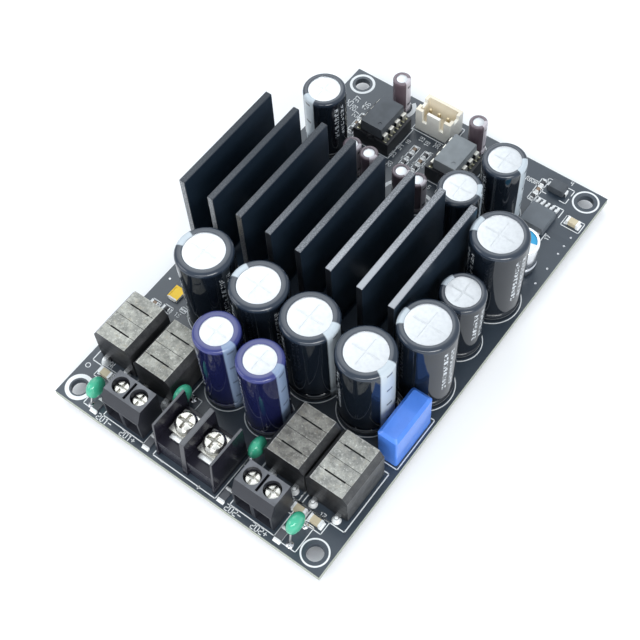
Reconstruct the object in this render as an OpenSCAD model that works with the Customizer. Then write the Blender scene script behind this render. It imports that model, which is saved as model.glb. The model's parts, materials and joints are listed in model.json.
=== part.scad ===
// Stereo audio amplifier board: heatsink over the amplifier chip, output terminals, supply strip.
// Millimetres. +X runs along the terminal edge, +Y from the terminals to the input header, +Z up.
// The origin is under the middle of the board, at the level of the trimmed lead ends.
// The board grows with the rows of pieces that it carries.

/* [Board] */
// Thickness of the circuit board
board_t = 1.6; // [1:0.1:2.4]
// Length of the trimmed lead ends below the board
lead_tail = 2; // [1.9:0.1:3]
// Distance of each mounting hole from both edges
mount_inset = 3.75; // [3.2:0.05:5]
// Diameter of the mounting holes
mount_hole_d = 3.8; // [2.6:0.1:4.4]
// Play between a lead and its plated hole, on the radius
lead_play = 0.1; // [0.05:0.05:0.2]
// Bare strip between the outermost pieces and the long edges
edge_margin = 1.2; // [0.8:0.1:4]
// Bare strip behind the input header
back_margin = 2.1; // [1:0.1:6]

/* [Heatsink] */
// Number of fins
fin_count = 8; // [4:2:10]
// Distance from fin to fin
fin_pitch = 7.8; // [6:0.1:9]
// Thickness of a fin
fin_t = 1.6; // [1.2:0.1:2.6]
// Height of the fins above the base
fin_h = 21.8; // [12:0.1:30]
// Chamfer in each corner between fin and base
fin_root = 0.6; // [0.2:0.1:1]
// Thickness of the base
sink_base_t = 3.2; // [2.4:0.1:5]
// Length of the heatsink along its fins
sink_l = 30.4; // [22:0.1:40]
// Fin spaces between the two screws that hold it
sink_screw_spaces = 4; // [2:2:4]
// Nominal diameter of those screws
sink_screw_d = 3; // [2.5:0.5:3]
// Head diameter of those screws
sink_head_d = 5.5; // [4.5:0.1:6]
// Head height of those screws
sink_head_h = 1.8; // [1.2:0.1:1.8]

/* [Amplifier chip] */
// Length of the chip body
chip_l = 14; // [11:0.1:16]
// Width of the chip body
chip_w = 6.1; // [5:0.1:8]
// Height of the chip above the board
chip_h = 1.15; // [0.9:0.05:1.6]
// Leads on each side of the chip
chip_leads = 22; // [14:1:22]
// Distance from lead to lead
chip_pitch = 0.635; // [0.5:0.005:0.65]
// Thickness of the thermal pad
pad_t = 0.25; // [0.1:0.05:0.5]

/* [Capacitors] */
// Diameter of the large cans
large_d = 12.8; // [11:0.1:15]
// Height of the large cans
large_h = 25; // [16:0.5:31]
// Diameter of the blue cans
blue_d = 10.1; // [8:0.1:12]
// Height of the blue cans
blue_h = 25; // [16:0.5:30]
// Diameter of the smaller black cans
small_d = 10.1; // [8:0.1:12]
// Height of the smaller black cans
small_h = 20; // [12:0.5:25]
// Diameter of the slim coupling cans
slim_d = 4.4; // [3.8:0.1:5.2]
// Height of the slim coupling cans
slim_h = 10.5; // [7:0.5:12]
// Diameter of the polymer can
polymer_d = 8; // [6.3:0.1:9]
// Height of the polymer can
polymer_h = 9.5; // [7:0.5:13]
// Diameter of the can leads
can_lead_d = 0.7; // [0.5:0.05:0.8]
// Gaps between the four cans of the row
row_gaps = [1.7, 0.3, 1.1]; // [0.3:0.1:4]
// Distance from the left edge to the row of cans
row_margin = 10.1; // [8:0.1:14]
// Width of the film capacitor
film_w = 5; // [4:0.1:7]
// Length of the film capacitor
film_l = 13; // [10:0.1:18]
// Height of the film capacitor
film_h = 11; // [8:0.1:14]
// Diameter of the dipped snubber capacitors
snubber_d = 5.2; // [4:0.1:6]
// Thickness of the dipped snubber capacitors
snubber_t = 3; // [2:0.1:3.4]

/* [Inductors] */
// Width of an inductor
coil_w = 10.3; // [8:0.1:13]
// Length of an inductor
coil_l = 12.8; // [10:0.1:16]
// Height of an inductor
coil_h = 10.6; // [7:0.1:14]
// Width of the chamfer along its long top edges
coil_chamfer = 1.15; // [0.4:0.05:2]
// Gap inside the left and the right pair
coil_gaps = [1.45, 0.5]; // [0.3:0.05:4]

/* [Output terminals] */
// Distance from pole to pole
pole_pitch = 5.08; // [5:0.02:5.5]
// Depth of a terminal block
block_d = 6.8; // [6.4:0.1:8]
// Height of a terminal block
block_h = 10; // [9.6:0.1:12]
// Wall between a pole's chamber and the outside
block_wall = 0.5; // [0.4:0.05:0.6]
// Diameter of the screw wells
well_d = 3.9; // [3.8:0.1:4.1]
// Nominal diameter of the clamp screws
clamp_screw_d = 2.4; // [2:0.1:2.5]
// Thread pitch of the clamp screws
clamp_pitch = 0.45; // [0.35:0.05:0.5]
// Turns from open to closed
clamp_turns = 3; // [1:1:3]

/* [Supply strip] */
// Distance from pole to pole
strip_pitch = 7.62; // [7:0.01:9]
// Depth of the strip
strip_d = 11.2; // [10:0.1:13]
// Height of the dividing walls
strip_h = 12.2; // [11.8:0.1:15]
// Thickness of the dividing walls
strip_wall = 1.3; // [1:0.1:1.5]
// Height of the base under the contact plates
strip_base = 5.8; // [4:0.1:6]
// Nominal diameter of the supply screws
supply_screw_d = 3; // [2.5:0.1:3.5]
// Head diameter of the supply screws
supply_head_d = 5; // [4.4:0.1:5.6]

/* [Input side] */
// Distance between the facing sides of the two sockets
socket_gap = 10.75; // [8:0.05:14]
// Distance from the left edge to the left socket
socket_margin = 12.05; // [11:0.05:15]
// Height of the sockets
socket_h = 4.2; // [3.6:0.1:5]
// Height of the input header
header_h = 7; // [5:0.1:9]
// Pitch of the input header's pins
header_pitch = 2.5; // [2:0.02:2.54]

/* [Hidden] */
$fn = 48;
eps = 0.01;
// Radial clearance of a running fit
fit = 0.05;
// Level of the board's top face
zt = lead_tail + board_t;

// Sizes of bought-in pieces that follow their own standards
block_w = 2 * pole_pitch;
strip_end_wall = 0.6;
strip_w = 2 * strip_pitch + strip_end_wall;
dip_pitch = 2.54;
dip_row = 7.62;
dip_rows = 4;
function dip_y(k) = (k - (dip_rows - 1) / 2) * dip_pitch;
socket_w = dip_row + dip_pitch;
socket_l = dip_rows * dip_pitch;
header_w = 2 * header_pitch + 4.9;
header_d = 5.75;
header_wall = 0.8;
header_pin_h = 5.6;
regulator_w = 6.6;
regulator_d = 6.1;
regulator_h = 2.3;
regulator_tab = 1;
regulator_reach = 2.7;
regulator_pitch = 1.27;
regulator_leads = 5;
diode_l = 4.3;
diode_w = 2.6;
diode_h = 2.2;
light_w = 2.8;
light_l = 3.5;
light_h = 0.8;

// Rows across the board, left to right; the widest one sets the board's width
sink_w = (fin_count - 1) * fin_pitch + fin_t;
column_gap = 0.6;
coil_margin = 2.2;
snubber_side = 0.2;
blue_gap = 1;
blue_side = 1.42;
film_side = 1.4;
strip_side = 4.6;
snubber_out = 4.42;
regulator_side = 0.25;
regulator_margin = 7.1;
can_side = 4.8;
centre_w = max(2 * blue_d + blue_gap + 2 * blue_side, strip_w + 2 * (snubber_t + 2 * snubber_side));
row_width = [
    strip_w + 2 * (strip_side + block_w + snubber_out + snubber_t / 2 + mount_inset + mount_hole_d / 2),
    2 * coil_margin + 4 * coil_w + coil_gaps[0] + coil_gaps[1] + centre_w,
    row_margin + 4 * large_d + row_gaps[0] + row_gaps[1] + row_gaps[2] + film_side + film_w + edge_margin,
    2 * edge_margin + sink_w + column_gap + large_d,
    socket_margin + 2 * socket_w + socket_gap + can_side + small_d + regulator_side + regulator_w
        + regulator_margin
];
board_w = max(row_width);
x_left = -board_w / 2;
x_right = board_w / 2;

// Rows along the board, front to back; the longer of two chains sets the board's length
block_setback = 2.45;
coil_setback = 3.6;
row_setback = 4;
sink_setback = 3.94;
slim_setback = 7.05;
socket_setback = 6.1;
header_setback = 1.15;
film_setback = 2.9;
column_gaps = [0.2, 1.75, 1.95, 1.2, 4.3, 3.1];
diode_margin = 3.3;
coil_front = block_setback + block_d + coil_setback;
row_front = coil_front + coil_l + row_setback;
sink_front = row_front + large_d + sink_setback;
slim_front = sink_front + sink_l + slim_setback;
socket_front = slim_front + slim_d + socket_setback;
header_front = socket_front + socket_l + header_setback;
film_front = coil_front + coil_l + film_setback;
tall_1_front = film_front + film_l + column_gaps[0];
side_front = tall_1_front + large_d + column_gaps[1];
tall_2_front = side_front + small_d + column_gaps[2];
polymer_front = tall_2_front + large_d + column_gaps[3];
regulator_front = polymer_front + polymer_d + column_gaps[4];
diode_front = regulator_front + regulator_tab + regulator_d + regulator_reach + column_gaps[5];
board_l = max(header_front + header_d + back_margin, diode_front + diode_w + diode_margin);
y_front = -board_l / 2;
y_back = board_l / 2;

// Places of the pieces
function row_x(i) = x_left + row_margin + (i + 0.5) * large_d
    + (i > 0 ? row_gaps[0] : 0) + (i > 1 ? row_gaps[1] : 0) + (i > 2 ? row_gaps[2] : 0);
row_y = y_front + row_front + large_d / 2;
coil_x = [
    x_left + coil_margin + coil_w / 2,
    x_left + coil_margin + 1.5 * coil_w + coil_gaps[0],
    x_right - coil_margin - 1.5 * coil_w - coil_gaps[1],
    x_right - coil_margin - coil_w / 2
];
coil_shift = [0, -0.5, 0, 0];
function coil_y(i) = y_front + coil_front + coil_l / 2 + coil_shift[i];
coil_inner = [coil_x[1] + coil_w / 2, coil_x[2] - coil_w / 2];
blue_mid = (coil_inner[0] + coil_inner[1]) / 2;
function blue_x(i) = blue_mid + (i - 0.5) * (blue_d + blue_gap);
blue_setback = 9.7;
blue_y = y_front + coil_front + blue_setback;
column_x = x_right - edge_margin - large_d / 2;
film_x = x_right - edge_margin - film_w / 2;
film_y = y_front + film_front + film_l / 2;
tall_y = [y_front + tall_1_front + large_d / 2, y_front + tall_2_front + large_d / 2];
polymer_shift = 0.2;
polymer_x = column_x + polymer_shift;
polymer_setback = 0.5;
polymer_y = y_front + polymer_front - polymer_setback + polymer_d / 2;
sink_x = x_left + edge_margin + sink_w / 2;
sink_y = y_front + sink_front + sink_l / 2;
sink_z = zt + chip_h + pad_t;
sink_back = sink_y + sink_l / 2;
socket_x = [
    x_left + socket_margin + socket_w / 2,
    x_left + socket_margin + 1.5 * socket_w + socket_gap
];
socket_y = y_front + socket_front + socket_l / 2;
header_x = (socket_x[0] + socket_x[1]) / 2;
header_y = y_front + header_front + header_d / 2;
slim_y = y_front + slim_front + slim_d / 2;
slim_beside = [[-1, 0.6], [0.55, -0.25]];
slim_shift = [0.85, -1.65];
slim_gaps = [0.4, 0.1];
slim_places = [
    [socket_x[0] + slim_beside[0][0], header_y + slim_beside[0][1]],
    [socket_x[1] + slim_beside[1][0], header_y + slim_beside[1][1]],
    [socket_x[0] + slim_shift[0], slim_y],
    [socket_x[0] + slim_shift[0] + slim_d + slim_gaps[0], slim_y],
    [socket_x[1] + slim_shift[1] - slim_d - slim_gaps[1], slim_y],
    [socket_x[1] + slim_shift[1], slim_y]
];
small_step = 3.85;
small_setback = [1.6, 7.4];
small_gap = 1.9;
small_margin = 2.85;
small_1_y = sink_back + small_setback[0] + small_d / 2;
small_places = [
    [column_x, y_front + side_front + small_d / 2],
    [column_x - large_d / 2 - small_step - small_d / 2, small_1_y],
    [socket_x[1] + socket_w / 2 + can_side + small_d / 2, small_1_y + small_d + small_gap],
    [x_left + small_margin + small_d / 2, sink_back + small_setback[1] + small_d / 2]
];
regulator_x = x_right - regulator_margin - regulator_w / 2;
regulator_y = y_front + regulator_front + regulator_tab + regulator_d / 2;
diode_shift = 0.5;
diode_x = regulator_x - diode_shift;
diode_y = y_front + diode_front + diode_w / 2;
block_x = strip_w / 2 + strip_side + block_w / 2;
block_y = y_front + block_setback;
strip_setback = 1.55;
strip_y = y_front + strip_setback;
snubber_pitch = 5.08;
snubber_out_x = block_x + block_w / 2 + snubber_out;
snubber_setback = [2.2, 0.8];
snubber_lift = [1.6, 3.3, 2.6, 4];
snubber_out_y = block_y + snubber_setback[0];
snubber_in_y = strip_y + strip_d + snubber_setback[1];
snubber_places = [
    [-snubber_out_x, snubber_out_y],
    [(coil_inner[0] - strip_w / 2) / 2, snubber_in_y],
    [(coil_inner[1] + strip_w / 2) / 2, snubber_in_y],
    [snubber_out_x, snubber_out_y]
];
light_margin = 5.9;
light_shift = 1.7;
light_x = x_left + light_margin;
light_y = row_y - light_shift;
sink_screw_x = [for (s = [-1, 1]) sink_x + s * sink_screw_spaces * fin_pitch / 2];

// Bare share of a can's top, depth of its crimp and rounding of its rim
row_disc = 0.72;
blue_disc = 0.7;
tall_disc = 0.75;
small_disc = 0.74;
slim_disc = 0.7;
polymer_disc = 0.9;
large_edge = [0.7, 0.9];
small_edge = [0.6, 0.8];
slim_edge = [0.3, 0.4];
polymer_edge = [0.5, 0.7];

// Lead pitches and diameters
large_lead_pitch = 5;
small_lead_pitch = 5;
slim_lead_pitch = 2;
slim_lead_d = 0.5;
polymer_lead_pitch = 3.5;
film_lead_pitch = 10;
film_lead_d = 0.6;
snubber_lead_d = 0.5;
coil_pin_d = 1.1;
coil_pin_pitch = 6;
coil_pin_out = 1;
contact_w = 1;
contact_t = 0.4;
strip_pin_d = 1.4;
socket_pin_d = 0.5;
header_pin = 0.64;

// Output terminal, from the board up and from the front back
block_floor = 0.5;
chamber_w = pole_pitch - 2 * block_wall;
chamber_h = 5.9;
mouth_h = 5.4;
block_lip = 0.8;
block_back_wall = 0.5;
block_slope = 1.5;
block_slope_z = 6.6;
shoulder_z = block_floor + chamber_h + 0.8;
clamp_travel = clamp_pitch * clamp_turns;
cage_gap = 0.1;
cage_w = chamber_w - 2 * 0.2;
cage_d = 3;
cage_wall = 0.5;
cage_top = 0.9;
cage_h = chamber_h - clamp_travel - 2 * cage_gap;
cage_z = block_floor + cage_gap;
well_y = block_slope + (block_d - block_slope) / 2;
tongue_t = 0.5;
tongue_z = cage_z + cage_h - cage_top - 0.2 - tongue_t;
clamp_tip_z = tongue_z + tongue_t + 0.3;
clamp_head_h = 1.5;
clamp_head_d = well_d - 0.3;
driver_slot = 0.6;
contact_gap = 0.12;
pin_y = block_d - block_back_wall - contact_gap - contact_t / 2;
pole_x = [-pole_pitch / 2, pole_pitch / 2];

// Supply strip, from the board up and from the front back
strip_wall_slope = 1.3;
strip_floor_front = 0.7;
strip_back_step = 0.3;
plate_w = strip_pitch - strip_wall - 0.8;
plate_t = 0.8;
plate_front = 4.4;
plate_d = 5.4;
tongue_w = 3.4;
tongue_d = 1.6;
leg_w = 3;
leg_t = 0.8;
leg_y = plate_front + plate_d - leg_t;
supply_screw_y = 6.7;
washer_gap = 0.1;
washer_t = 0.8;
washer_w = strip_pitch - strip_wall - 0.8;
washer_d = 5.6;
supply_head_h = 1.9;
supply_tip = 3.2;
strip_pole_x = [-strip_pitch / 2, strip_pitch / 2];
washer_z = strip_base + plate_t + washer_gap;

// Every lead that passes the board, as [x, y, diameter]
function pair(x, y, pitch, d) = [[x - pitch / 2, y, d], [x + pitch / 2, y, d]];
function pair_y(x, y, pitch, d) = [[x, y - pitch / 2, d], [x, y + pitch / 2, d]];
leads = concat(
    [for (i = [0:3]) each pair(row_x(i), row_y, large_lead_pitch, can_lead_d)],
    [for (i = [0:1]) each pair(blue_x(i), blue_y, small_lead_pitch, can_lead_d)],
    [for (y = tall_y) each pair(column_x, y, large_lead_pitch, can_lead_d)],
    [for (p = small_places) each pair(p[0], p[1], small_lead_pitch, can_lead_d)],
    [for (p = slim_places) each pair(p[0], p[1], slim_lead_pitch, slim_lead_d)],
    pair(polymer_x, polymer_y, polymer_lead_pitch, can_lead_d),
    pair_y(film_x, film_y, film_lead_pitch, film_lead_d),
    [for (p = snubber_places) each pair_y(p[0], p[1], snubber_pitch, snubber_lead_d)],
    [for (i = [0:3])
        each pair(coil_x[i], coil_y(i) - coil_l / 2 - coil_pin_out, coil_pin_pitch, coil_pin_d)],
    [for (side = [-1, 1]) for (x = pole_x)
        [side * block_x + x, block_y + pin_y, norm([contact_w, contact_t])]],
    [for (x = strip_pole_x) [x, strip_y + leg_y + leg_t / 2, strip_pin_d]],
    [for (x = socket_x) for (s = [-1, 1]) for (k = [0:dip_rows - 1])
        [x + s * dip_row / 2, socket_y + dip_y(k), socket_pin_d]],
    [for (k = [-1:1]) [header_x + k * header_pitch, header_y, header_pin * sqrt(2)]]
);

// Ceramic chip capacitors beside the terminals and the regulator, as [x, y]
ceramic_l = 3.2;
ceramic_w = 1.6;
ceramic_h = 1.3;
ceramic_shift = [[-2.3, 2.2], [-2.8, 1.8], [1.4, 1.8], [4.1, 3.85]];
snubber_back = snubber_out_y + snubber_d / 2;
ceramic_places = [
    [-snubber_out_x + ceramic_shift[0][0], snubber_back + ceramic_shift[0][1]],
    [snubber_out_x + ceramic_shift[1][0], snubber_back + ceramic_shift[1][1]],
    [snubber_out_x + ceramic_shift[2][0], snubber_back + ceramic_shift[2][1]],
    [regulator_x + regulator_w / 2 + ceramic_shift[3][0], regulator_y + ceramic_shift[3][1]]
];

// Smaller chip parts, as [x, y, turn]
chip_part_l = 1.6;
chip_part_w = 0.8;
chip_part_h = 0.45;
quarter_turn = 90;
front_chip_l = 3.2;
front_chip_w = 1.6;
front_chip_h = 0.55;
front_chip_y = y_front + 2.7;
front_chip_shift = [1.4, 2.8, 1.9, 2.6];
front_chip_x = [
    -snubber_out_x + front_chip_shift[0], -strip_w / 2 - front_chip_shift[1],
    strip_w / 2 + front_chip_shift[2], snubber_out_x - front_chip_shift[3]
];
filter_gap = 2.3;
filter_step = 3.2;
filter_x = header_x - 1.1;
filter_y = socket_y - socket_l / 2 - 1.5;
socket_chip = [socket_x[0] - socket_w / 2 - 2, socket_y - 3.2];
regulator_chip_gap = [1.1, 4.6];
regulator_chip = [regulator_x - regulator_w / 2 - regulator_chip_gap[0], diode_y - regulator_chip_gap[1]];
light_chip_shift = [[0.6, -4.2], [-2.6, -4.6]];
light_chip = [for (d = light_chip_shift) [light_x + d[0], light_y + d[1]]];
chip_part_places = concat(
    [for (i = [0:1]) for (k = [0:3]) [filter_x + i * filter_step, filter_y + k * filter_gap, quarter_turn]],
    [for (p = [socket_chip, regulator_chip]) for (k = [0:2]) [p[0], p[1] + k * filter_gap, quarter_turn]],
    [for (p = light_chip) [p[0], p[1], 0]]
);

sides = ["left", "right"];

// Flat shapes and leads that several pieces share

module rounded_rect(w, l, r) {
    square([w - 2 * r, l], center = true);
    square([w, l - 2 * r], center = true);
    for (sx = [-1, 1])
        for (sy = [-1, 1])
            translate([sx * (w / 2 - r), sy * (l / 2 - r)])
                circle(r);
}

// Straight lead from height z, measured from the board's top, down to the trimmed end
module lead(x, y, d, z = eps) {
    translate([x, y, 0])
        cylinder(d = d, h = zt + z);
}

// Bent lead of a surface part: out of the body at height z, down, and along the board
module gull_lead(reach, z, w, t) {
    foot = 0.45 * reach;
    rotate([90, 0, 90])
        translate([0, 0, -w / 2])
            linear_extrude(w)
                polygon([
                    [-eps, z - t / 2], [reach - foot - t, z - t / 2], [reach - foot - t, 0], [reach, 0],
                    [reach, t], [reach - foot, t], [reach - foot, z + t / 2], [-eps, z + t / 2]
                ]);
}

// Recess for a cross driver, cut into a screw head from its top
module cross_recess(d, w, depth) {
    for (a = [0, 90])
        rotate(a)
            translate([-d / 2, -w / 2, -depth])
                cube([d, w, depth + eps]);
}

// Board, heatsink and amplifier chip

module circuit_board() {
    color("#1b1d22")
        translate([0, 0, lead_tail])
            linear_extrude(board_t)
                difference() {
                    square([board_w, board_l], center = true);
                    for (sx = [-1, 1])
                        for (sy = [-1, 1])
                            translate([sx * (board_w / 2 - mount_inset), sy * (board_l / 2 - mount_inset)])
                                circle(d = mount_hole_d);
                    for (p = leads)
                        translate([p[0], p[1]])
                            circle(d = p[2] + 2 * lead_play, $fn = 24);
                    for (x = sink_screw_x)
                        translate([x, sink_y])
                            circle(d = sink_screw_d + 2 * lead_play);
                }
}

// Outline of one fin, from its left root to its right root; the outer fins have no outer chamfer
function fin_outline(i) =
    let (
        x = (i - (fin_count - 1) / 2) * fin_pitch,
        left = i == 0 ? 0 : fin_root,
        right = i == fin_count - 1 ? 0 : fin_root
    )
    [
        [x - fin_t / 2 - left, sink_base_t], [x - fin_t / 2, sink_base_t + left],
        [x - fin_t / 2, sink_base_t + fin_h], [x + fin_t / 2, sink_base_t + fin_h],
        [x + fin_t / 2, sink_base_t + right], [x + fin_t / 2 + right, sink_base_t]
    ];

module heatsink() {
    fins = [for (i = [0:fin_count - 1]) each fin_outline(i)];
    last = len(fins) - 2;
    comb = [for (k = [1:last]) fins[k]];
    color("#141519")
        difference() {
            translate([sink_x, sink_y + sink_l / 2, sink_z])
                rotate([90, 0, 0])
                    linear_extrude(sink_l)
                        polygon(concat([[-sink_w / 2, 0]], comb, [[sink_w / 2, 0]]));
            for (x = sink_screw_x)
                translate([x, sink_y, sink_z - eps])
                    cylinder(d = sink_screw_d + 2 * fit, h = sink_base_t + 2 * eps);
        }
}

module amplifier_chip() {
    stand_off = 0.1;
    lead_reach = 1;
    lead_w = 0.25;
    lead_t = 0.15;
    color("#2a2c30")
        translate([sink_x, sink_y, zt]) {
            translate([-chip_l / 2, -chip_w / 2, stand_off])
                cube([chip_l, chip_w, chip_h - stand_off]);
            for (k = [0:chip_leads - 1])
                for (a = [0, 180])
                    rotate(a)
                        translate([(k - (chip_leads - 1) / 2) * chip_pitch, chip_w / 2, 0])
                            gull_lead(lead_reach, chip_h / 2, lead_w, lead_t);
        }
}

module thermal_pad() {
    pad_border = 0.5;
    color("#c9cdd2")
        translate([sink_x, sink_y, zt + chip_h])
            linear_extrude(pad_t)
                rounded_rect(chip_l + 2 * pad_border, chip_w + 2 * pad_border, pad_border);
}

module heatsink_screws() {
    recess_d = 0.6 * sink_head_d;
    recess_w = 0.7;
    recess_depth = 0.9;
    edge = 0.5;
    color("silver")
        for (x = sink_screw_x)
            translate([x, sink_y, lead_tail]) {
                translate([0, 0, -eps])
                    cylinder(d = sink_screw_d, h = sink_z + sink_base_t - lead_tail + eps);
                difference() {
                    rotate_extrude()
                        polygon([
                            [0, 0], [sink_head_d / 2, 0], [sink_head_d / 2, -sink_head_h + edge],
                            [sink_head_d / 2 - edge, -sink_head_h], [0, -sink_head_h]
                        ]);
                    translate([0, 0, -sink_head_h])
                        rotate([180, 0, 0])
                            cross_recess(recess_d, recess_w, recess_depth);
                }
            }
}

// Capacitors

// Quarter arc from angle a to b, as points
function arc(cx, cy, r, a, b, n) =
    [for (i = [0:n]) let (t = a + (b - a) * i / n) [cx + r * cos(t), cy + r * sin(t)]];

// Wound can in its sleeve: rolled crimp near the foot, sleeve folded over the rim, scored top
module can(d, h, share, edge, scored) {
    r = d / 2;
    disc = share * d;
    crimp = edge[0];
    round = edge[1];
    fold = 0.25;
    crimp_z = 2.4 * crimp + 1;
    score_w = 0.35;
    score_depth = 0.2;
    difference() {
        rotate_extrude()
            polygon(concat(
                [[0, 0], [r - crimp / 2, 0], [r, crimp / 2]],
                arc(r + crimp * 0.2, crimp_z, crimp, 258, 102, 6),
                arc(r - round, h - round, round, 0, 90, 5),
                [[disc / 2, h], [disc / 2, h - fold], [0, h - fold]]
            ));
        if (scored)
            for (a = [0, 90])
                rotate(a)
                    translate([-disc * 0.36, -score_w / 2, h - fold - score_depth])
                        cube([disc * 0.72, score_w, score_depth + eps]);
    }
}

module can_at(x, y, d, h, share, edge, lead_pitch, lead_d, scored = true) {
    translate([x, y, zt])
        can(d, h, share, edge, scored);
    for (s = [-1, 1])
        lead(x + s * lead_pitch / 2, y, lead_d, 2 * eps);
}

module reservoir_capacitor(i) {
    color("#15171c")
        can_at(row_x(i), row_y, large_d, large_h, row_disc, large_edge, large_lead_pitch, can_lead_d);
}

module blue_capacitor(i) {
    color("#2b2f7d")
        can_at(blue_x(i), blue_y, blue_d, blue_h, blue_disc, small_edge, small_lead_pitch, can_lead_d);
}

module tall_capacitor(i) {
    color("#15171c")
        can_at(column_x, tall_y[i], large_d, large_h, tall_disc, large_edge, large_lead_pitch, can_lead_d);
}

module small_capacitor(i) {
    p = small_places[i];
    color("#15171c")
        can_at(p[0], p[1], small_d, small_h, small_disc, small_edge, small_lead_pitch, can_lead_d);
}

module coupling_capacitor(i) {
    p = slim_places[i];
    color("#4a2a30")
        can_at(p[0], p[1], slim_d, slim_h, slim_disc, slim_edge, slim_lead_pitch, slim_lead_d, false);
}

module polymer_capacitor() {
    foot_h = 0.8;
    foot_step = 0.6;
    color("#d8dade") {
        translate([polymer_x, polymer_y, zt])
            cylinder(d = polymer_d - foot_step, h = foot_h + eps);
        translate([polymer_x, polymer_y, zt + foot_h])
            can(polymer_d, polymer_h - foot_h, polymer_disc, polymer_edge, false);
        for (s = [-1, 1])
            lead(polymer_x + s * polymer_lead_pitch / 2, polymer_y, can_lead_d, 2 * eps);
    }
}

module film_capacitor() {
    corner = 0.6;
    rise = 0.7;
    color("#4f80e8") {
        translate([film_x, film_y, zt])
            hull() {
                linear_extrude(film_h - rise)
                    rounded_rect(film_w, film_l, corner);
                linear_extrude(film_h)
                    rounded_rect(film_w - 2 * rise, film_l - 2 * rise, corner);
            }
        for (s = [-1, 1])
            lead(film_x, film_y + s * film_lead_pitch / 2, film_lead_d, 1);
    }
}

// Dipped body: a disc with a round rim, thick in the middle, on two splayed leads
module snubber_capacitor(lift) {
    rim = snubber_t * 0.3;
    spread = snubber_pitch / 2;
    neck = snubber_d * 0.3;
    middle = lift + snubber_d / 2;
    bend_z = 0.4;
    bend_d = 1.2 * snubber_lead_d;
    rise = lift + 2 * rim - bend_z;
    splay = atan2(spread - neck, rise);
    translate([0, 0, middle])
        rotate([0, 90, 0])
            rotate_extrude()
                polygon(concat(
                    [[0, -snubber_t / 2], [snubber_d * 0.22, -snubber_t / 2]],
                    arc(snubber_d / 2 - rim, 0, rim, -60, 60, 5),
                    [[snubber_d * 0.22, snubber_t / 2], [0, snubber_t / 2]]
                ));
    for (s = [-1, 1]) {
        translate([0, s * spread, bend_z]) {
            sphere(d = bend_d, $fn = 24);
            rotate([s * splay, 0, 0])
                cylinder(d = snubber_lead_d, h = rise / cos(splay), $fn = 24);
        }
        translate([0, s * spread, -zt])
            cylinder(d = snubber_lead_d, h = zt + bend_z, $fn = 24);
    }
}

module snubber_capacitors() {
    color("#1f9d6b")
        for (i = [0:3])
            translate([snubber_places[i][0], snubber_places[i][1], zt])
                snubber_capacitor(snubber_lift[i]);
}

// Inductors

// Ferrite block in four slices, with a seam between slices and a gap groove in the two outer seams
module output_inductor(i) {
    drop = 1.5 * coil_chamfer;
    groove_w = 0.36;
    groove_depth = 0.35;
    groove_l = 0.5 * coil_w;
    seam_w = 0.1;
    groove_y = 0.257 * coil_l;
    tab_h = 1.4;
    foot = 0.5;
    color("#4a4a47")
        translate([coil_x[i], coil_y(i), zt]) {
            difference() {
                translate([0, coil_l / 2, 0])
                    rotate([90, 0, 0])
                        linear_extrude(coil_l)
                            polygon([
                                [-coil_w / 2 + foot, 0], [coil_w / 2 - foot, 0], [coil_w / 2, foot],
                                [coil_w / 2, coil_h - drop], [coil_w / 2 - coil_chamfer, coil_h],
                                [-coil_w / 2 + coil_chamfer, coil_h], [-coil_w / 2, coil_h - drop],
                                [-coil_w / 2, foot]
                            ]);
                for (s = [-1, 1])
                    translate([-groove_l / 2, s * groove_y - groove_w / 2, coil_h - groove_depth])
                        cube([groove_l, groove_w, coil_h]);
                for (k = [-1:1])
                    translate([-coil_w, k * groove_y - seam_w / 2, coil_h - seam_w])
                        cube([2 * coil_w, seam_w, coil_h]);
            }
            for (s = [-1, 1])
                translate([s * coil_pin_pitch / 2, -coil_l / 2 - coil_pin_out, 0]) {
                    translate([0, 0, -zt])
                        cylinder(d = coil_pin_d, h = zt + tab_h);
                    translate([-coil_pin_d / 2, 0, tab_h - coil_pin_d])
                        cube([coil_pin_d, coil_pin_out + eps, coil_pin_d]);
                }
        }
}

// Output terminals

module at_block(side) {
    translate([side * block_x, block_y, zt])
        children();
}

module terminal_housing(side) {
    divider_slot_w = 0.6;
    divider_slot_d = 1.2;
    divider_end = 0.5;
    top_l = block_d - block_slope;
    color("#1c1d20")
        at_block(side)
            difference() {
                translate([-block_w / 2, 0, 0])
                    rotate([90, 0, 90])
                        linear_extrude(block_w)
                            polygon([
                                [0, 0], [block_d, 0], [block_d, block_h],
                                [block_slope, block_h], [0, block_slope_z]
                            ]);
                for (x = pole_x)
                    translate([x, 0, 0]) {
                        translate([-chamber_w / 2, block_lip, block_floor])
                            cube([chamber_w, block_d - block_lip - block_back_wall, chamber_h]);
                        translate([-chamber_w / 2, -eps, block_floor])
                            cube([chamber_w, block_lip + 2 * eps, mouth_h]);
                        translate([0, well_y, shoulder_z])
                            cylinder(d = well_d, h = block_h);
                        translate([0, well_y, block_floor])
                            cylinder(d = clamp_screw_d + 0.4, h = block_h);
                        translate([-contact_w / 2 - lead_play, pin_y - contact_t / 2 - lead_play, -eps])
                            cube([
                                contact_w + 2 * lead_play, contact_t + 2 * lead_play, block_floor + 2 * eps
                            ]);
                    }
                translate([-divider_slot_w / 2, block_slope + divider_end, block_h - divider_slot_d])
                    cube([divider_slot_w, top_l - 2 * divider_end, divider_slot_d + eps]);
            }
}

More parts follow.
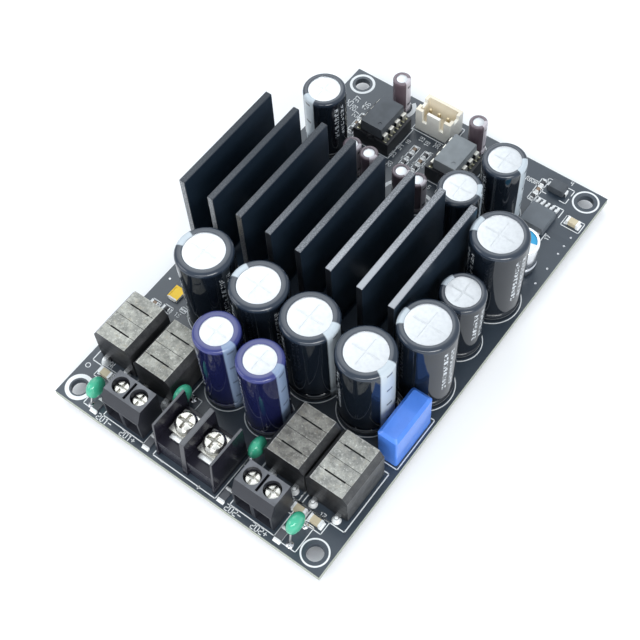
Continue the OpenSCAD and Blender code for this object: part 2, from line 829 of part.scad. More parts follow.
// Flat tongue inside the cage: it turns down behind the cage and narrows to the solder pin
module terminal_contacts(side) {
    tongue_w = cage_w - 2 * cage_wall - 0.4;
    tongue_front = block_lip + 0.5;
    back = pin_y + contact_t / 2;
    neck_z = block_floor + cage_gap;
    color("silver")
        at_block(side)
            for (x = pole_x)
                translate([x, 0, 0]) {
                    translate([-tongue_w / 2, tongue_front, tongue_z])
                        cube([tongue_w, back - tongue_front, tongue_t]);
                    translate([-tongue_w / 2, back - contact_t, neck_z])
                        cube([tongue_w, contact_t, tongue_z + eps - neck_z]);
                    translate([-contact_w / 2, back - contact_t, -zt])
                        cube([contact_w, contact_t, zt + neck_z + eps]);
                }
}

module terminal_screw(side, i) {
    head_edge = 0.3;
    slot_depth = 0.8;
    color("silver")
        at_block(side)
            translate([pole_x[i], well_y, 0]) {
                translate([0, 0, clamp_tip_z])
                    cylinder(d = clamp_screw_d, h = shoulder_z + fit + eps - clamp_tip_z);
                translate([0, 0, shoulder_z + fit])
                    difference() {
                        rotate_extrude()
                            polygon([
                                [0, 0], [clamp_head_d / 2, 0], [clamp_head_d / 2, clamp_head_h - head_edge],
                                [clamp_head_d / 2 - head_edge, clamp_head_h], [0, clamp_head_h]
                            ]);
                        translate([0, 0, clamp_head_h])
                            cross_recess(clamp_head_d + eps, driver_slot, slot_depth);
                    }
            }
}

// Cage that the screw lifts: a wire goes in from the front, under the tongue
module terminal_cage(side, i) {
    color("#b9bcc2")
        at_block(side)
            translate([pole_x[i], well_y - cage_d / 2, cage_z])
                difference() {
                    translate([-cage_w / 2, 0, 0])
                        cube([cage_w, cage_d, cage_h]);
                    translate([-cage_w / 2 + cage_wall, -eps, cage_wall])
                        cube([cage_w - 2 * cage_wall, cage_d + 2 * eps, cage_h - cage_wall - cage_top]);
                    translate([0, cage_d / 2, cage_h / 2])
                        cylinder(d = clamp_screw_d + 2 * fit, h = cage_h);
                }
}

// Supply strip

module at_strip() {
    translate([0, strip_y, zt])
        children();
}

// Upright wall between two poles or at an end, with its top edges eased
module strip_barrier(wall) {
    ease = 0.15;
    hull()
        for (e = [0, ease])
            translate([-wall / 2 + e, 0, 0])
                rotate([90, 0, 90])
                    linear_extrude(wall - 2 * e)
                        polygon([
                            [0, 0], [strip_d, 0],
                            [strip_d, strip_h - ease + e], [strip_wall_slope, strip_h - ease + e]
                        ]);
}

module supply_strip_housing() {
    leg_play = 0.1;
    color("#1c1d20")
        at_strip()
            difference() {
                union() {
                    translate([-strip_pitch, strip_floor_front, 0])
                        cube([2 * strip_pitch, strip_d - strip_floor_front - strip_back_step, strip_base]);
                    for (k = [-1:1])
                        translate([k * strip_pitch, 0, 0])
                            strip_barrier(k == 0 ? strip_wall : strip_end_wall);
                }
                for (x = strip_pole_x)
                    translate([x, 0, 0]) {
                        translate([0, supply_screw_y, strip_base - supply_tip])
                            cylinder(d = supply_screw_d + 0.6, h = strip_base);
                        translate([-leg_w / 2 - leg_play, leg_y - leg_play, -eps])
                            cube([leg_w + 2 * leg_play, leg_t + 2 * leg_play, strip_base + 2 * eps]);
                    }
            }
}

// Threaded plate on the base, with a leg that goes down through it to the solder pin
module supply_strip_contacts() {
    color("#d9dadc")
        at_strip()
            for (x = strip_pole_x)
                translate([x, 0, 0]) {
                    difference() {
                        union() {
                            translate([-plate_w / 2, plate_front, strip_base])
                                cube([plate_w, plate_d, plate_t]);
                            translate([-tongue_w / 2, plate_front - tongue_d, strip_base])
                                cube([tongue_w, tongue_d + eps, plate_t]);
                        }
                        translate([0, supply_screw_y, strip_base - eps])
                            cylinder(d = supply_screw_d + 2 * fit, h = plate_t + 2 * eps);
                    }
                    translate([-leg_w / 2, leg_y, 0])
                        cube([leg_w, leg_t, strip_base + eps]);
                    translate([0, leg_y + leg_t / 2, -zt])
                        cylinder(d = strip_pin_d, h = zt + eps);
                }
}

module supply_washer(i) {
    color("#d9dadc")
        at_strip()
            translate([strip_pole_x[i], supply_screw_y, washer_z])
                difference() {
                    translate([-washer_w / 2, -washer_d / 2, 0])
                        cube([washer_w, washer_d, washer_t]);
                    translate([0, 0, -eps])
                        cylinder(d = supply_screw_d + 2 * fit, h = washer_t + 2 * eps);
                }
}

module supply_screw(i) {
    head_edge = 0.5;
    recess_w = 0.8;
    recess_depth = 1.1;
    head_z = washer_z + washer_t + fit;
    tip_z = strip_base - supply_tip + 0.3;
    color("#d9dadc")
        at_strip()
            translate([strip_pole_x[i], supply_screw_y, 0]) {
                translate([0, 0, tip_z])
                    cylinder(d = supply_screw_d, h = head_z + eps - tip_z);
                translate([0, 0, head_z])
                    difference() {
                        rotate_extrude()
                            polygon([
                                [0, 0], [supply_head_d / 2, 0],
                                [supply_head_d / 2, supply_head_h - head_edge],
                                [supply_head_d / 2 - head_edge, supply_head_h], [0, supply_head_h]
                            ]);
                        translate([0, 0, supply_head_h])
                            cross_recess(0.75 * supply_head_d, recess_w, recess_depth);
                    }
            }
}

// Input side

// Two contact rails joined at their ends, with a window for each lead and a notch at the front
module op_amp_socket(i) {
    rail_w = 2.54;
    bar_l = 1.3;
    window_w = 1;
    window_l = 1.6;
    window_depth = 3.2;
    notch_r = 1;
    color("#17181b")
        translate([socket_x[i], socket_y, zt])
            difference() {
                translate([-socket_w / 2, -socket_l / 2, 0])
                    cube([socket_w, socket_l, socket_h]);
                translate([-dip_row / 2 + rail_w / 2, -socket_l / 2 + bar_l, -eps])
                    cube([dip_row - rail_w, socket_l - 2 * bar_l, socket_h + 2 * eps]);
                translate([0, -socket_l / 2, socket_h - notch_r])
                    cylinder(r = notch_r, h = socket_h);
                for (s = [-1, 1])
                    for (k = [0:dip_rows - 1])
                        translate([s * dip_row / 2, dip_y(k), socket_h - window_depth])
                            translate([-window_w / 2, -window_l / 2, 0])
                                cube([window_w, window_l, socket_h]);
            }
    color("silver")
        for (s = [-1, 1])
            for (k = [0:dip_rows - 1])
                lead(socket_x[i] + s * dip_row / 2, socket_y + dip_y(k), socket_pin_d);
}

// Moulded body with draft above and below the lead plane, and eight bent leads
module op_amp(i) {
    body_w = 6.3;
    body_l = 9.3;
    body_h = 3.3;
    lift = 0.4;
    draft = 0.2;
    lead_w = 1.4;
    lead_tip_w = 0.5;
    lead_t = 0.25;
    lead_in = 2.4;
    dimple_d = 1;
    dimple_depth = 0.15;
    lead_z = lift + 0.4 * body_h;
    row = dip_row / 2;
    body_side = body_w / 2 - draft;
    color("#2b2d31")
        translate([socket_x[i], socket_y, zt + socket_h])
            difference() {
                translate([0, body_l / 2, lift])
                    rotate([90, 0, 0])
                        linear_extrude(body_l)
                            polygon([
                                [-body_side, 0], [body_side, 0], [body_w / 2, lead_z - lift],
                                [body_side, body_h], [-body_side, body_h], [-body_w / 2, lead_z - lift]
                            ]);
                translate([body_w / 2 - 1.6, -body_l / 2 + 1.5, lift + body_h - dimple_depth])
                    cylinder(d = dimple_d, h = body_h);
            }
    color("silver")
        translate([socket_x[i], socket_y, zt + socket_h])
            for (s = [0, 180])
                rotate(s)
                    for (k = [0:dip_rows - 1])
                        translate([0, dip_y(k), 0]) {
                            translate([body_w / 2 - 0.2, -lead_w / 2, lead_z - lead_t / 2])
                                cube([row - body_w / 2 + 0.2 + lead_t / 2, lead_w, lead_t]);
                            translate([row - lead_t / 2, -lead_w / 2, 0])
                                cube([lead_t, lead_w, lead_z]);
                            translate([row - lead_t / 2, -lead_tip_w / 2, -lead_in])
                                cube([lead_t, lead_tip_w, lead_in + eps]);
                        }
}

// Open-topped shroud with two key slots in its front wall
module input_header() {
    wall = header_wall;
    floor_t = 2;
    slot_w = 1.3;
    slot_h = 3.8;
    slot_x = 2.4;
    side_slot = 2;
    color("#eae3cf")
        translate([header_x, header_y, zt])
            difference() {
                translate([-header_w / 2, -header_d / 2, 0])
                    cube([header_w, header_d, header_h]);
                translate([-header_w / 2 + wall, -header_d / 2 + wall, floor_t])
                    cube([header_w - 2 * wall, header_d - 2 * wall, header_h]);
                for (s = [-1, 1]) {
                    translate([s * slot_x - slot_w / 2, -header_d / 2 - eps, header_h - slot_h])
                        cube([slot_w, wall + 2 * eps, header_h]);
                    translate([s * (header_w / 2 - wall / 2) - wall, -side_slot / 2, header_h - slot_h / 3])
                        cube([2 * wall, side_slot, header_h]);
                }
                for (k = [-1:1])
                    translate([k * header_pitch, 0, -eps])
                        cylinder(d = header_pin * sqrt(2) + 2 * fit, h = header_h);
            }
}

module input_pins() {
    color("#d8c98a")
        for (k = [-1:1])
            translate([header_x + k * header_pitch - header_pin / 2, header_y - header_pin / 2, 0])
                cube([header_pin, header_pin, zt + header_pin_h]);
}

// Surface parts

module regulator() {
    draft = 0.3;
    lead_w = 0.65;
    lead_t = 0.5;
    lead_z = 1;
    tab_w = 5.3;
    color("#222428")
        translate([regulator_x, regulator_y, zt])
            translate([0, regulator_d / 2, 0])
                rotate([90, 0, 0])
                    linear_extrude(regulator_d)
                        polygon([
                            [-regulator_w / 2, 0], [regulator_w / 2, 0],
                            [regulator_w / 2, regulator_h * 0.6],
                            [regulator_w / 2 - draft, regulator_h], [-regulator_w / 2 + draft, regulator_h],
                            [-regulator_w / 2, regulator_h * 0.6]
                        ]);
    color("silver")
        translate([regulator_x, regulator_y, zt]) {
            translate([-tab_w / 2, -regulator_d / 2 - regulator_tab, 0])
                cube([tab_w, regulator_tab + eps, lead_t]);
            for (k = [0:regulator_leads - 1])
                translate([(k - (regulator_leads - 1) / 2) * regulator_pitch, regulator_d / 2, 0])
                    gull_lead(regulator_reach, lead_z, lead_w, lead_t);
        }
}

module rectifier_diode() {
    draft = 0.25;
    lead_w = 1.4;
    lead_t = 0.2;
    lead_out = 0.4;
    top = diode_l / 2 - draft;
    color("#222428")
        translate([diode_x, diode_y + diode_w / 2, zt])
            rotate([90, 0, 0])
                linear_extrude(diode_w)
                    polygon([
                        [-top, lead_t], [top, lead_t], [diode_l / 2, diode_h / 2],
                        [top, diode_h], [-top, diode_h], [-diode_l / 2, diode_h / 2]
                    ]);
    color("silver")
        translate([diode_x, diode_y, zt])
            for (s = [0, 180])
                rotate(s) {
                    translate([diode_l / 2 - draft, -lead_w / 2, diode_h / 2 - lead_t / 2])
                        cube([draft + lead_out, lead_w, lead_t]);
                    translate([diode_l / 2 + lead_out - lead_t, -lead_w / 2, 0])
                        cube([lead_t, lead_w, diode_h / 2]);
                    translate([diode_l / 2 + lead_out - 1.2, -lead_w / 2, 0])
                        cube([1.2, lead_w, lead_t]);
                }
}

// White moulded frame around a filled well
module power_light() {
    well_w = 2.2;
    well_l = 2.7;
    well_depth = 0.12;
    pad_out = 0.15;
    pad_w = 1.8;
    color("#f4c22a")
        translate([light_x, light_y, zt])
            difference() {
                union() {
                    translate([-light_w / 2, -light_l / 2, 0])
                        cube([light_w, light_l, light_h]);
                    translate([-pad_w / 2, -light_l / 2 - pad_out, 0])
                        cube([pad_w, light_l + 2 * pad_out, light_h / 3]);
                }
                translate([0, 0, light_h - well_depth])
                    linear_extrude(light_h)
                        rounded_rect(well_w, well_l, 0.4);
            }
}

// Ceramic block with a slightly larger plated cap on each end
module chip_part(l, w, h, cap) {
    skin = 0.04;
    translate([-l / 2 + cap / 2, -w / 2, skin])
        cube([l - cap, w, h - skin]);
    for (s = [-1, 1])
        translate([s * (l / 2 - cap / 2) - cap / 2, -w / 2 - skin, 0])
            cube([cap, w + 2 * skin, h + skin]);
}

module ceramic_capacitors() {
    cap = 0.6;
    color("#b58f63")
        for (p = ceramic_places)
            translate([p[0], p[1], zt])
                chip_part(ceramic_l, ceramic_w, ceramic_h, cap);
}

module chip_resistors() {
    cap = 0.3;
    front_cap = 0.5;
    color("#3a3b3f") {
        for (p = chip_part_places)
            translate([p[0], p[1], zt])
                rotate(p[2])
                    chip_part(chip_part_l, chip_part_w, chip_part_h, cap);
        for (x = front_chip_x)
            translate([x, front_chip_y, zt])
                rotate(quarter_turn)
                    chip_part(front_chip_l, front_chip_w, front_chip_h, front_cap);
    }
}

circuit_board();
heatsink();
amplifier_chip();
thermal_pad();
heatsink_screws();
for (i = [0:3]) {
    reservoir_capacitor(i);
    small_capacitor(i);
    output_inductor(i);
}
for (i = [0:1]) {
    blue_capacitor(i);
    tall_capacitor(i);
    supply_screw(i);
    supply_washer(i);
    op_amp(i);
    op_amp_socket(i);
}
for (i = [0:5])
    coupling_capacitor(i);
polymer_capacitor();
film_capacitor();
snubber_capacitors();
for (side = [-1, 1]) {
    name = sides[(side + 1) / 2];
    terminal_housing(side);
    terminal_contacts(side);
    for (i = [0:1]) {
        terminal_screw(side, i);
        terminal_cage(side, i);
    }
}
supply_strip_housing();
supply_strip_contacts();
input_header();
input_pins();
regulator();
rectifier_diode();
power_light();
ceramic_capacitors();
chip_resistors();
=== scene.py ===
# %% [markdown]
# # An audio amplifier board
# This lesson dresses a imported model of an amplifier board. The solids come from the part's own source,
# in metres, so a piece goes where a solid says it is. Each step names a piece of the real board, says
# how it could be made in Blender, and why this way was taken.

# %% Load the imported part
import json
from math import copysign, cos, pi, radians, sin

import bmesh
import bpy
from mathutils import Matrix, Vector


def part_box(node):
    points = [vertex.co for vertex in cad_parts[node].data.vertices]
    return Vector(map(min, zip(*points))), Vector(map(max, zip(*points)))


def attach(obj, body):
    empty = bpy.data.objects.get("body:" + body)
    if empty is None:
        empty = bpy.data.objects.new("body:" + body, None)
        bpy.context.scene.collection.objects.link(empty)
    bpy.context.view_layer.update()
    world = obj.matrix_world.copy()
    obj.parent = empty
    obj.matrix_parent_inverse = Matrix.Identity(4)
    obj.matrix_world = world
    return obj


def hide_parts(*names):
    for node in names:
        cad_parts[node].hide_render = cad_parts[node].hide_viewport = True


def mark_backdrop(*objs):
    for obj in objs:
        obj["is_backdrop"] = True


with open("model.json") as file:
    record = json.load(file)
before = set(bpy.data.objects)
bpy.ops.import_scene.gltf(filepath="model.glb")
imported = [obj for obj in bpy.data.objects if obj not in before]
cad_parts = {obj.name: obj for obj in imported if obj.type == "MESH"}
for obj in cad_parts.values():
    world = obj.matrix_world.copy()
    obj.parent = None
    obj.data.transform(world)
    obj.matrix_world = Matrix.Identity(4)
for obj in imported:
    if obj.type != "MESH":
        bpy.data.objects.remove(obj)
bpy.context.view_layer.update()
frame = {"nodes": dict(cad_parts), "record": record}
link = bpy.context.scene.collection.objects.link
MM = 0.001
BODY_OF = {n: b for b, ns in frame["record"]["behaviour"]["bodies"].items() for n in ns}
BOARD_LOW, BOARD_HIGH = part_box("circuit_board")
TOP = BOARD_HIGH.z
TOP_MM, UNDER_MM = TOP * 1000, BOARD_LOW.z * 1000
HALF_X, HALF_Y = BOARD_HIGH.x * 1000, BOARD_HIGH.y * 1000
print("nodes", len(frame["nodes"]), "board", [round(v * 1000, 1) for v in BOARD_HIGH - BOARD_LOW])

# %% [markdown]
# ## Camera
# The photograph looks down on one corner of the board. Its viewpoint was solved from the board's corners
# and holes, so the camera takes three angles and a place, and no shift. A track-to constraint could aim
# it, but a written matrix also keeps the small roll of the hand-held picture.

# %% Set the camera
AZIMUTH, ELEVATION, ROLL = 40.85, 59.09, -4.75
CAMERA_PLACE = (0.09083, -0.11332, 0.23420)
a, e, r = (radians(v) for v in (AZIMUTH, ELEVATION, ROLL))
back = Vector((sin(a) * cos(e), -cos(a) * cos(e), sin(e)))
right = Vector((cos(a), sin(a), 0))
up = back.cross(right)
axes = right * cos(r) + up * sin(r), up * cos(r) - right * sin(r), back
camera_data = bpy.data.cameras.new("photo_camera")
camera_data.sensor_width = 36
camera_data.lens = 67.57
camera_data.clip_start = 0.01
camera_data.clip_end = 20
camera = bpy.data.objects.new("photo_camera", camera_data)
camera.matrix_world = Matrix.Translation(CAMERA_PLACE) @ Matrix(axes).transposed().to_4x4()
link(camera)
bpy.context.scene.camera = camera
print("camera at", [round(v, 4) for v in camera.location])

# %% [markdown]
# ## Shader maths as Python
# A material is a tree of nodes, and long trees are hard to read when they are built socket by socket.
# Here a small class wraps a socket, so that `1 - mask` adds a Math node by itself. Colours and vectors
# go through other nodes, which one method makes for all of them.

# %% Wrap a socket
class Field:
    """A value that changes over a surface: one output socket and the tree it belongs to."""

    def __init__(self, home, socket):
        self.home = home
        self.socket = socket

    def math(self, operation, *values):
        return self.home.node("Math", dict(enumerate(values)), operation=operation)

    def __abs__(self):
        return self.math("ABSOLUTE", self)

    def over(self, low, high):
        """0 below low, 1 above high, and a smooth step between."""
        ends = {"Value": self, "From Min": low, "From Max": high}
        return self.home.node("MapRange", ends, interpolation_type="SMOOTHSTEP")

    def wrap(self, size):
        """Repeats the value every size, from 0 to 1."""
        part = self / size
        return part.math("FRACT", part)


# Each sign gets both orders: mask - 1 calls the first, and 1 - mask the second.
OPERATORS = {"add": "ADD", "sub": "SUBTRACT", "mul": "MULTIPLY", "truediv": "DIVIDE", "pow": "POWER",
             "or": "MAXIMUM", "and": "MINIMUM"}
for sign, operation in OPERATORS.items():
    setattr(Field, f"__{sign}__", lambda self, other, o=operation: self.math(o, self, other))
    setattr(Field, f"__r{sign}__", lambda self, other, o=operation: self.math(o, other, self))
print("operators", len(OPERATORS))

# %% Wrap a node tree and a material
class Tree:
    """Adds shader nodes to a tree and feeds their sockets."""

    def __init__(self, tree):
        self.tree = tree

    def node(self, kind, inputs=None, out=0, **settings):
        made = self.tree.nodes.new("ShaderNode" + kind)
        for key, value in settings.items():
            setattr(made, key, value)
        for key, value in (inputs or {}).items():
            self.feed(made.inputs[key], value)
        return Field(self, made.outputs[out])

    def feed(self, socket, value):
        if isinstance(value, Field):
            self.tree.links.new(value.socket, socket)
        elif isinstance(value, (tuple, list)) and len(value) == 3 and socket.type == "RGBA":
            socket.default_value = (*value, 1)
        else:
            socket.default_value = value


class Finish(Tree):
    """A Principled material, with the place of each point in millimetres."""

    def __init__(self, name):
        self.material = bpy.data.materials.new(name)
        self.material.use_nodes = True
        super().__init__(self.material.node_tree)
        self.shader = self.tree.nodes["Principled BSDF"]
        at = self.node("TexCoord", out="Object")
        self.place = self.node("VectorMath", {0: at, "Scale": 1000.0}, operation="SCALE")

    def axes(self):
        split = self.node("SeparateXYZ", {0: self.place}).socket.node
        return [Field(self, split.outputs[k]) for k in range(3)]

    def noise(self, scale, detail, rough, stretch=(1, 1, 1)):
        """Cloudy value around 0.5; scale is in spots per millimetre."""
        at = self.node("VectorMath", {0: self.place, 1: stretch}, operation="MULTIPLY")
        return self.node("TexNoise",
                         {"Vector": at, "Scale": scale, "Detail": detail, "Roughness": rough})

    def mix(self, mask, a, b):
        return self.node("Mix", {0: mask, 6: a, 7: b}, 2, data_type="RGBA")

    def bump(self, height, strength, distance_mm):
        return self.node("Bump",
                         {"Height": height, "Strength": strength, "Distance": distance_mm * MM})

    def wear(self, **sockets):
        """Sets sockets of the shader: base_color=..., roughness=..., normal=..."""
        for key, value in sockets.items():
            words = key.replace("_", " ").title().replace("Ior", "IOR")
            self.feed(self.shader.inputs[words], value)
        return self.material


def shade(colour, factor, lift=0.0):
    return tuple(min(1, c * factor + lift) for c in colour)


print("shader helpers ready")

# %% [markdown]
# ## Pieces that stand for solids
# A solid from CAD has razor edges, and real mouldings and sawn metal don't: the thin bright line on a
# rounded edge is what makes a plastic block look real. A bevel node in the shader would be lost in an
# export, so each solid is copied, its flat faces are joined again, and a Bevel modifier rounds its outer
# edges. A Weighted Normal modifier then lets the large faces lead, so that they still shade as flat.

# %% Copy a solid
SAME_SPOT = 2e-7
FLAT, SHARP = radians(1), radians(40)


def mm_box(node):
    low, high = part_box(node)
    return low * 1000, high * 1000


def solid_copy(node):
    """A bmesh of a CAD node, with shared corners joined."""
    tool = bmesh.new()
    tool.from_mesh(frame["nodes"][node].data)
    bmesh.ops.remove_doubles(tool, verts=tool.verts, dist=SAME_SPOT)
    return tool


def new_piece(name, mesh_tool, materials, smooth=40):
    """A mesh object from a bmesh, smooth up to an edge angle in degrees."""
    mesh = bpy.data.meshes.new(name)
    mesh_tool.to_mesh(mesh)
    mesh_tool.free()
    for material in materials:
        mesh.materials.append(material)
    piece = bpy.data.objects.new(name, mesh)
    link(piece)
    mesh.shade_smooth()
    mesh.set_sharp_from_angle(angle=radians(smooth))
    return piece


def finished(node, mesh_tool, materials, smooth=40):
    """A new piece that stands for a node, on the node's body."""
    piece = new_piece(node + "_finished", mesh_tool, materials, smooth)
    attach(piece, BODY_OF[node])
    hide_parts(node)
    return piece


print("copy helpers ready")

# %% Round its outer edges
def mark_outer_edges(tool):
    weight = tool.edges.layers.float.new("bevel_weight_edge")
    for edge in tool.edges:
        outer = edge.is_manifold and edge.is_convex and edge.calc_face_angle() > SHARP
        edge[weight] = 1.0 if outer else 0.0


def softened(node, materials, pick=None, edge_mm=0.12, rings=2, join=True):
    """A copy of a CAD node with rounded edges; pick(centre in mm, normal) chooses a face's material."""
    tool = solid_copy(node)
    if join:
        bmesh.ops.dissolve_limit(tool, angle_limit=FLAT, verts=tool.verts, edges=tool.edges)
    tool.normal_update()
    for face in tool.faces:
        face.material_index = int(pick(face.calc_center_median() * 1000, face.normal)) if pick else 0
    if edge_mm:
        mark_outer_edges(tool)
    piece = finished(node, tool, materials)
    if edge_mm:
        bevel = piece.modifiers.new("soft_edges", "BEVEL")
        bevel.width = edge_mm * MM
        bevel.segments = rings
        bevel.limit_method = "WEIGHT"
        bevel.face_strength_mode = "FSTR_ALL"
        even = piece.modifiers.new("even_shading", "WEIGHTED_NORMAL")
        even.weight = 80
        even.keep_sharp = True
        even.use_face_influence = True
    return piece


print("edge helpers ready")

# %% [markdown]
# ## Circuit board
# The board is glass laminate under a dark, slightly glossy solder mask. Copper under the mask shows as
# faint lighter fields, and the sawn edges are bare, pale laminate. All of it can be one material that
# reads its place on the board, so the solid from CAD stays as it is.

# %% Board finish
FIELD_X, FIELD_Y = 19.0, 23.0
MASK, MASK_OVER_COPPER, MASK_DUST = (0.014, 0.025, 0.039), (0.024, 0.037, 0.053), (0.042, 0.056, 0.075)
RESIN, GLASS = (0.30, 0.32, 0.26), (0.45, 0.47, 0.40)


def board_finish():
    f = Finish("board_mask")
    x, y, _ = f.axes()
    edge = abs(x).over(HALF_X - 0.02, HALF_X - 0.01) | abs(y).over(HALF_Y - 0.02, HALF_Y - 0.01)
    wide = f.noise(0.05, 2, 0.5).over(0.46, 0.5)
    fields = (abs((x + 3).wrap(FIELD_X) - 0.5).over(0.03, 0.04)
              & abs((y - 6).wrap(FIELD_Y) - 0.5).over(0.03, 0.035))
    grain = f.noise(9.0, 4, 0.65)
    tone = f.mix(fields * 0.6 + wide * 0.3, MASK, MASK_OVER_COPPER)
    tone = f.mix(grain.over(0.35, 0.75) * 0.35, tone, MASK_DUST)
    strands = f.noise(3.0, 3, 0.6, (1, 1, 9))
    laminate = f.mix(strands.over(0.35, 0.65), RESIN, GLASS)
    height = fields * 0.5 + grain * 0.15
    return f.wear(base_color=f.mix(edge, tone, laminate), roughness=0.30 + grain * 0.14 + edge * 0.3,
                  normal=f.bump(height, 0.25, 0.05), specular_ior_level=0.85)


board_node = frame["nodes"]["circuit_board"]
board_node.data.materials.clear()
board_node.data.materials.append(board_finish())
print("board faces", len(board_node.data.polygons))

# %% [markdown]
# ## Metal finishes
# Tin shows on leads and solder, nickel on screws, zinc on clamp cages, and brass under a gold flash on
# the input pins. They differ mostly in colour and in how rough they are, so one function makes them all.

# %% Metals
def metal(name, colour, rough, scratch=0.08, fine=6.0, stretch=(1, 1, 1), bare=1.0):
    f = Finish(name)
    streak = f.noise(fine, 4, 0.6, stretch)
    dirt = f.noise(0.7, 3, 0.5)
    tone = f.mix(dirt.over(0.3, 0.75) * 0.5, colour, shade(colour, 0.72))
    return f.wear(base_color=tone, metallic=bare, roughness=rough + (streak - 0.5) * scratch * 2,
                  normal=f.bump(streak, 0.12, 0.03))


tin = metal("tinned_lead", (0.72, 0.72, 0.71), 0.28)
solder = metal("solder", (0.70, 0.70, 0.71), 0.22, 0.05, 2.5)
nickel = metal("nickel_plate", (0.72, 0.70, 0.64), 0.27, 0.10, 5.0, (1, 1, 0.1))
steel = metal("zinc_plate", (0.66, 0.67, 0.68), 0.34)
gold = metal("flash_gold", (0.66, 0.55, 0.36), 0.42)
chip_lead = metal("chip_lead", (0.92, 0.89, 0.79), 0.36, bare=0.7)
spring_brass = metal("spring_brass", (0.84, 0.81, 0.56), 0.36, bare=0.3)
bright_solder = metal("bright_solder", (0.93, 0.94, 0.93), 0.30, 0.05, 2.5, bare=0.1)
print("metals ready")

# %% [markdown]
# ## Plastics
# Mouldings differ in gloss more than in colour. A fine noise in the bump gives the spark-eroded skin of
# a moulding tool, and a broad one keeps a large face from looking dead.

# %% Plastics
def moulded(name, colour, rough, grain=14.0, relief=0.12, tint=0.25, **more):
    f = Finish(name)
    skin = f.noise(grain, 3, 0.6)
    cloud = f.noise(0.35, 2, 0.5)
    tone = f.mix(cloud.over(0.3, 0.7) * tint, colour, shade(colour, 1.5, 0.004))
    return f.wear(base_color=tone, roughness=rough + (skin - 0.5) * 0.16,
                  normal=f.bump(skin, relief, 0.04), **more)


chip_resin = moulded("chip_resin", (0.060, 0.068, 0.078), 0.5, 6.0, 0.4, 0.5)
chip_resin_pale = moulded("chip_resin_pale", (0.23, 0.25, 0.26), 0.55, 6.0, 0.4, 0.35)
terminal_black = moulded("terminal_plastic", (0.019, 0.020, 0.026), 0.36, 7.0, 0.25, 0.3,
                         specular_ior_level=0.35)
# Painted highlight, partly dust: the paler finish of the terminal tops.
terminal_top = moulded("terminal_top", (0.096, 0.100, 0.110), 0.42, 3.0, 0.9, 0.9)
strip_black = moulded("strip_plastic", (0.012, 0.011, 0.018), 0.24, 8.0, 0.1, specular_ior_level=0.35)
# Painted highlight: the wall tops of the supply strip are painted paler than its walls.
strip_top_painted_highlight = moulded("strip_top_painted_highlight", (0.10, 0.102, 0.11), 0.3, 8.0, 0.1)
socket_black = moulded("socket_plastic", (0.018, 0.019, 0.022), 0.38)
ivory = moulded("header_ivory", (0.92, 0.90, 0.81), 0.4, 8.0, 0.06, 0.1)
ivory_inside = moulded("header_inside", (0.86, 0.78, 0.62), 0.45, 8.0, 0.06, 0.1)
pad_grey = moulded("thermal_pad", (0.55, 0.58, 0.62), 0.7)
print("plastics ready")

# %% [markdown]
# ## Heatsink
# The comb of fins is an aluminium extrusion with black anodising. The saw and the tumbler leave its fin
# tops and ends finely scratched and a little paler, and its flanks stay nearly black. Each face gets one of
# three finishes by the way it faces. How pale the scratches get changes with the place, and that part is
# painted reflection: the tops are painted brightest at the right front, and only the left fin ends are
# painted pale.

# %% Anodised finishes
def anodised(name, colour, pale, rough, wear_and_sheen, stretch, bare=0.75):
    """Black anodising; the sixth argument, a function of across and along, each 0 to 1 over the heatsink,
    says how much wear and painted sheen the marks get.
    """
    f = Finish(name)
    low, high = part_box("heatsink")
    streak = f.noise(1.6, 5, 0.7, stretch)
    speck = f.noise(3.0, 4, 0.8)
    x, y, _ = f.axes()
    wear_and_sheen_amount = wear_and_sheen(x.over(low.x * 1000, high.x * 1000), y.over(low.y * 1000, high.y * 1000))
    marks = wear_and_sheen_amount * (0.3 + streak.over(0.5, 0.72) * 0.3 + speck.over(0.46, 0.66) * 0.7)
    return f.wear(base_color=f.mix(marks, colour, pale), metallic=bare,
                  roughness=rough + (speck - 0.5) * 0.2,
                  normal=f.bump(speck * 0.6 + streak * 0.4, 0.2, 0.03))


# Painted highlight: the fin tops are painted paler towards the right fins and the front ends, where they
# would mirror the softbox; the speckle itself is wear.
def top_wear_and_sheen(across, along):
    right_fins = across.over(0.62, 0.95)
    return (0.13 + across * 0.62 + right_fins * 1.3) * (1.6 - along.over(0, 0.4) * 0.5 - along * 0.5)


flank = anodised("anodised_flank", (0.012, 0.023, 0.038), (0.026, 0.040, 0.060), 0.34,
                 lambda across, along: 0.25 + across * 0.2, (0.3, 0.12, 1), 0.2)
fin_top = anodised("anodised_fin_top", (0.026, 0.031, 0.038), (0.36, 0.37, 0.39), 0.40, top_wear_and_sheen,
                   (3, 0.6, 1))
# Painted reflection: the ends of the left fins are painted pale, as if they mirrored the white floor, and the
# ends further right stay dark.
fin_end = anodised("anodised_fin_end", (0.020, 0.026, 0.036), (0.46, 0.465, 0.47), 0.30,
                   lambda across, along: 0.95 - across.over(0.12, 0.45) * 0.9, (3, 1, 0.5))
print("heatsink finishes ready")

# %% Dress the heatsink
FACING = 0.7


def upper(node, reach_mm, tilt):
    """Chooses finish 1 for faces within reach_mm of the node's top that look up."""
    top_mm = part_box(node)[1].z * 1000
    return lambda at, normal: at.z > top_mm - reach_mm and normal.z > tilt


on_fin_top = upper("heatsink", 0.5, FACING)


def heatsink_face(at, normal):
    """Finishes: 0 flank, 1 fin top, 2 fin end."""
    return on_fin_top(at, normal) or (2 if abs(normal.y) > FACING else 0)


heatsink = softened("heatsink", [flank, fin_top, fin_end], heatsink_face, 0.18)
softened("amplifier_chip", [chip_resin], None, 0)
softened("thermal_pad", [pad_grey], None, 0.05)
softened("heatsink_screws", [steel], None, 0.1)
print("heatsink faces", len(heatsink.data.polygons))

